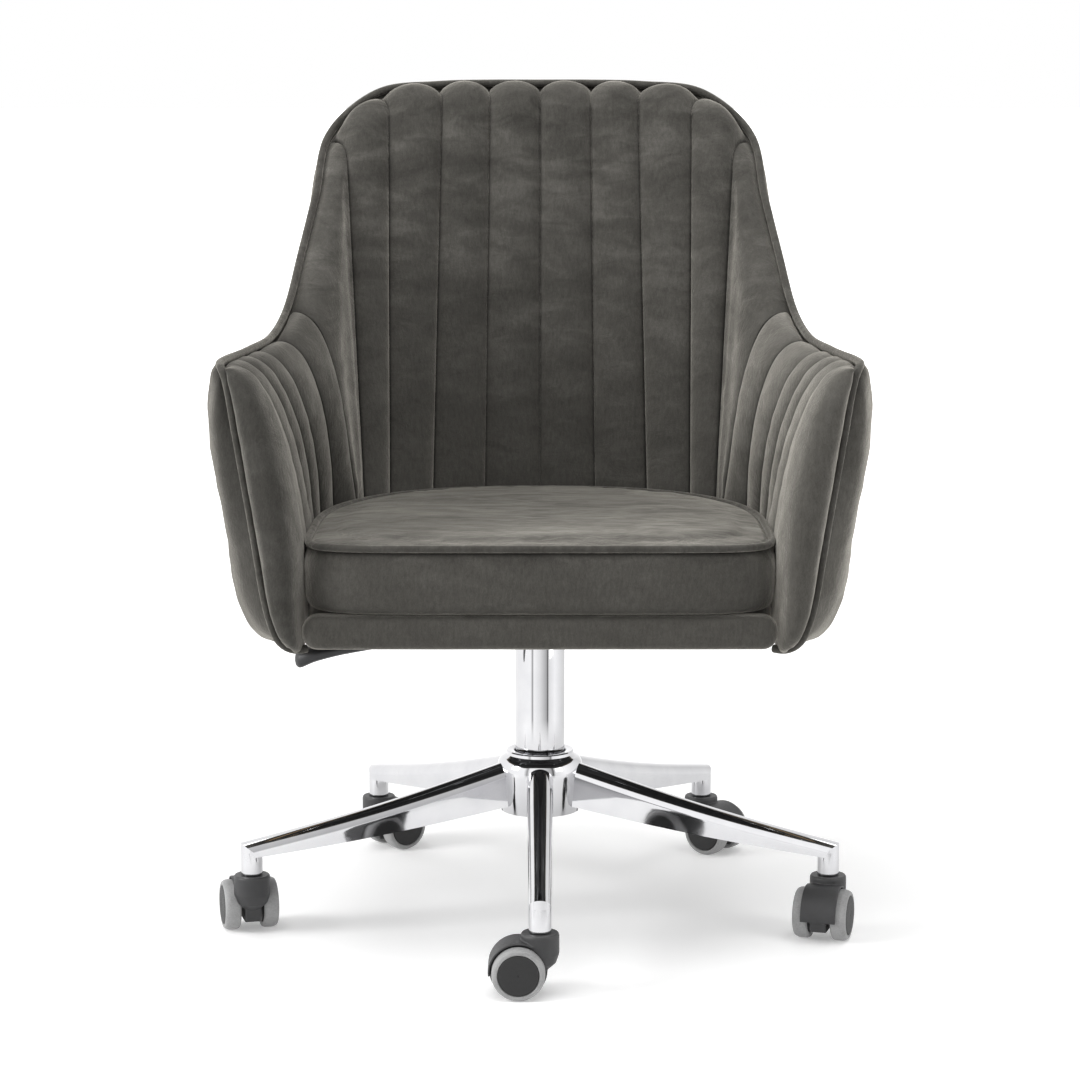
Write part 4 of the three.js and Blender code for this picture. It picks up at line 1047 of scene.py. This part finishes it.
def hood_mesh():
    """The caster's hood: stem axis on Z, wheels trailing along +X."""
    axle = (CASTER_TRAIL, WHEEL_RADIUS)
    boss = [(0.01, 24), (7, 24), (15, 31), (18, 40), (18, 57.5), (17, 59.5), (0.01, 59.5)]
    hood = solid("hood", *turned(boss, 64, closed=False))
    for y0, y1 in ((8, 40), (-40, -8)):
        combine(hood, "DIFFERENCE", solid("cut", *block(arc(26.3, 0, 357, 96, axle), y0, y1)))
    band = arc(28.3, -6, 120, 40, axle) + arc(26.3, 120, -6, 40, axle)
    combine(hood, "UNION", solid("band", *block(band, -17.5, 17.5)))
    web = arc(27, -30, 210, 72, axle)
    combine(hood, "UNION", solid("web", *block(web, -7.9, 7.9)))
    combine(hood, "DIFFERENCE", solid("bore", *block(arc(3.4, 0, 350, 32, axle), -30, 30)))
    bore = [(0.01, 39.8), (5.9, 39.8), (5.9, 70), (0.01, 70)]
    combine(hood, "DIFFERENCE", solid("stem_bore", *turned(bore, 32, closed=False)))
    remesh = hood.modifiers.new("remesh", "REMESH")
    remesh.mode = "VOXEL"
    remesh.voxel_size = 0.6 * MM
    soft = hood.modifiers.new("soften", "SMOOTH")
    soft.factor, soft.iterations = 0.5, 5
    light = hood.modifiers.new("lighten", "DECIMATE")
    light.ratio = 0.25
    baked(hood)
    mesh = hood.data
    bpy.data.objects.remove(hood)
    mesh.materials.clear()
    mesh.materials.append(NYLON)
    mesh.shade_smooth()
    mesh.set_sharp_from_angle(angle=math.radians(50))
    return mesh


def build_casters():
    hood = hood_mesh()
    near, far, rim, bore = WHEEL_INNER, WHEEL_OUTER, WHEEL_RADIUS, AXLE_RADIUS + 0.3
    tyre = [(19.4, near + 1), (23.6, near), (rim, near + 2.4), (rim, far - 4.2), (23.2, far - 0.6)]
    tyre = turned(rounded(tyre + [(20.4, far), (19.4, far - 0.8)], 2.0, 5), 72)
    disc = [(bore, near), (19.2, near), (19.2, far - 0.4), (18.5, far), (0.4, far + 0.15), (0.4, 24.5)]
    disc = turned(rounded(disc + [(bore, 24.5)], 0.5, 3), 72)
    axle = Matrix.Translation(Vector((CASTER_TRAIL, 0, WHEEL_RADIUS)) * MM)
    for i, heading in enumerate(CASTER_HEADINGS):
        turn = leg_turn(i)
        at = Matrix.Translation(Vector((math.cos(turn), math.sin(turn), 0)) * BASE_RADIUS * MM)
        at = at @ Matrix.Rotation(math.radians(heading), 4, "Z")
        mesh = hood.copy()
        mesh.transform(at)
        piece = added(f"hood_shell_{i + 1}", mesh)
        place(piece, f"caster_{i + 1}", [f"caster_hood_{i + 1}"])
        for side, letter in ((1, "a"), (-1, "b")):
            spot = at @ (axle @ Matrix.Rotation(math.radians(-90 * side), 4, "X"))
            body = f"wheel_{i + 1}_{letter}"
            for kind, (points, faces), material, slot, nodes in (
                ("tyre", tyre, TYRE, "caster_tyre", [body]),
                ("disc", disc, DISC, "caster_nylon", []),
            ):
                part = np.array([spot @ Vector(p * MM) for p in points]) / MM, faces
                make_piece(f"{kind}_{i + 1}_{letter}", part, material, body, nodes, 40)


def build_lever():
    path = [(4, 0, 305.3), (-20, 0, 305.3), (-44, 0, 305.3), (-62, -2, 300), (-84, -14, 294)]
    path += [(-112, -42, 292), (-132, -56, 291), (-160, -60, 289.5)]
    path = smoothed(path, 90)
    bar = loft(tube_rings(spaced(path, 90), 4, 16))
    make_piece("lever_bar", bar, STEEL, "lever", ["lever_rod"], 60)
    # the paddle's x, z, half height and half width
    sections = [(-137, 290.5, 3, 5), (-139, 290.5, 6.5, 8.6), (-150, 290, 7.2, 12), (-176, 286, 7, 16)]
    sections += [(-200, 281, 6.4, 18), (-222, 276, 7.5, 18), (-236, 271.5, 9, 15), (-241, 271, 7, 10)]
    sections += [(-242.4, 271, 3, 5)]
    rings = []
    sides = 36
    angles = np.arange(sides) / sides * 2 * math.pi
    for x, z, height, width in smoothed(sections, 60):
        across = path[-1, 1] + width * signed_power(np.cos(angles), 0.8)
        up = z + height * signed_power(np.sin(angles), 0.8)
        rings.append(np.stack([np.full(sides, x), across, up], -1))
    make_piece("lever_grip", loft(rings), BLACK_PLASTIC, "lever", ["lever_paddle"], 60)


def finish_cad_nodes():
    """Materials for the CAD nodes that stay: fittings and frames that are mostly hidden."""
    looks = {
        "tub_frame": PLYWOOD, "seat_board": PLYWOOD, "guide_bush": ACETAL, "release_pin": ACETAL,
        "bump_stop": RUBBER, "gas_cylinder": BLACK_STEEL, "mounting_plate": BLACK_STEEL, "piston_rod": CHROME,
    }
    for name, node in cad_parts.items():
        node.data.materials.clear()
        node.data.materials.append(looks.get(name, STEEL))


build_base()
build_casters()
build_lever()
build_cushion()
build_rail()
build_dust_cover()
build_back()
build_arms()
build_rim_welt()
finish_cad_nodes()

# ---- floor, light and camera, in metres

FLOOR_HALF = 40
CAMERA_AT, CAMERA_PITCH, FOCAL_LENGTH = (0, -3.1442, 0.8724), 8.899, 105.68
# Brightness round the room: 0.5 is behind the camera, 0.25 the sitter's right, 0.75 their left.
ROOM = [(0.0, 0.8), (0.2, 0.92), (0.38, 1.0), (0.405, 0.3), (0.42, 1.0), (0.5, 0.8),
        (0.585, 0.42), (0.6, 0.04), (0.615, 0.8), (0.7, 1.0), (0.9, 0.6), (1.0, 0.8)]
# Each light's name, place, the point that it faces, size and power in watts.
LIGHTS = [
    ("overhead_softbox", (0, -0.3, 2.6), (0, 0, 0.4), (2.4, 2.0), 56),
    ("key_softbox", (-2.8, -0.9, 1.5), (0, 0, 0.5), (1.2, 1.8), 68),
    ("fill_softbox", (2.6, -1.9, 1.4), (0, 0, 0.5), (1.2, 1.8), 16),
]


def room_bands(s, direction):
    """The brightness of the room in a direction, in bands round the azimuth."""
    parts = [s.node("SeparateXYZ", {"Vector": direction}, axis) for axis in (0, 1)]
    turn = s.math("ARCTAN2", parts[0], s.math("MULTIPLY", parts[1], -1.0))
    return s.ramp(s.between(turn, -math.pi, math.pi), *ROOM)


def build_floor():
    """A bright floor, which polished metal sees as the room's bands from a little way off."""
    s = Shader("floor_finish", Roughness=0.6, Specular_IOR_Level=0.2, Emission_Color=(1, 1, 1, 1))
    tint = s.ramp(s.noise(2.0, 3.0), (0.3, 0.88), (0.7, 0.9))
    rays = s.outputs("LightPath")
    away = s.node("VectorMath", {0: s.place}, 1, operation="LENGTH")
    far = s.between(away, 0.8, 3.0)
    s.set(Base_Color=tint, Emission_Strength=s.math("MULTIPLY_ADD", far, rays["Is Camera Ray"], 0.26))
    bands = s.node("Emission", {"Color": room_bands(s, s.place), "Strength": 1.65})
    share = s.math("MULTIPLY", s.between(away, 0.45, 0.8), rays["Is Glossy Ray"])
    seen = s.node("MixShader", {0: share, 1: s.main.outputs[0], 2: bands})
    s.tree.links.new(seen, s.output.inputs["Surface"])
    mesh = bpy.data.meshes.new("floor")
    corners = [(-1, -1, 0), (1, -1, 0), (1, 1, 0), (-1, 1, 0)]
    mesh.from_pydata([Vector(corner) * FLOOR_HALF for corner in corners], [], [(0, 1, 2, 3)])
    mesh.materials.append(s.material)
    added("floor", mesh)


def build_air():
    """White for the camera, and the room's bands for everything else."""
    world = bpy.data.worlds.new("studio")
    bpy.context.scene.world = world
    world.use_nodes = True
    w = Nodes(world.node_tree)
    rays = w.outputs("LightPath")
    direction = w.outputs("TexCoord")["Generated"]
    strength = w.math("MULTIPLY_ADD", rays["Is Glossy Ray"], 1.13, 0.52)
    room = w.node("Background", {"Color": room_bands(w, direction), "Strength": strength})
    white = w.node("Background", {"Color": (1, 1, 1), "Strength": 1.0})
    seen = w.node("MixShader", {0: rays["Is Camera Ray"], 1: room, 2: white})
    w.tree.links.new(seen, w.tree.nodes.new("ShaderNodeOutputWorld").inputs["Surface"])


def build_lights():
    for name, at, towards, size, power in LIGHTS:
        light = bpy.data.lights.new(name, "AREA")
        light.shape = "RECTANGLE"
        light.size, light.size_y = size
        light.energy = power
        lamp = added(name, light)
        lamp.location = at
        lamp.rotation_euler = (Vector(towards) - Vector(at)).to_track_quat("-Z", "Y").to_euler()


def build_camera():
    lens = bpy.data.cameras.new("camera")
    lens.sensor_width = 36
    lens.lens = FOCAL_LENGTH
    camera = added("camera", lens)
    camera.location = CAMERA_AT
    camera.rotation_euler = (math.radians(90 - CAMERA_PITCH), 0, 0)
    bpy.context.scene.camera = camera
    bpy.context.scene.view_settings.view_transform = "Standard"


build_floor()
build_air()
build_lights()
build_camera()
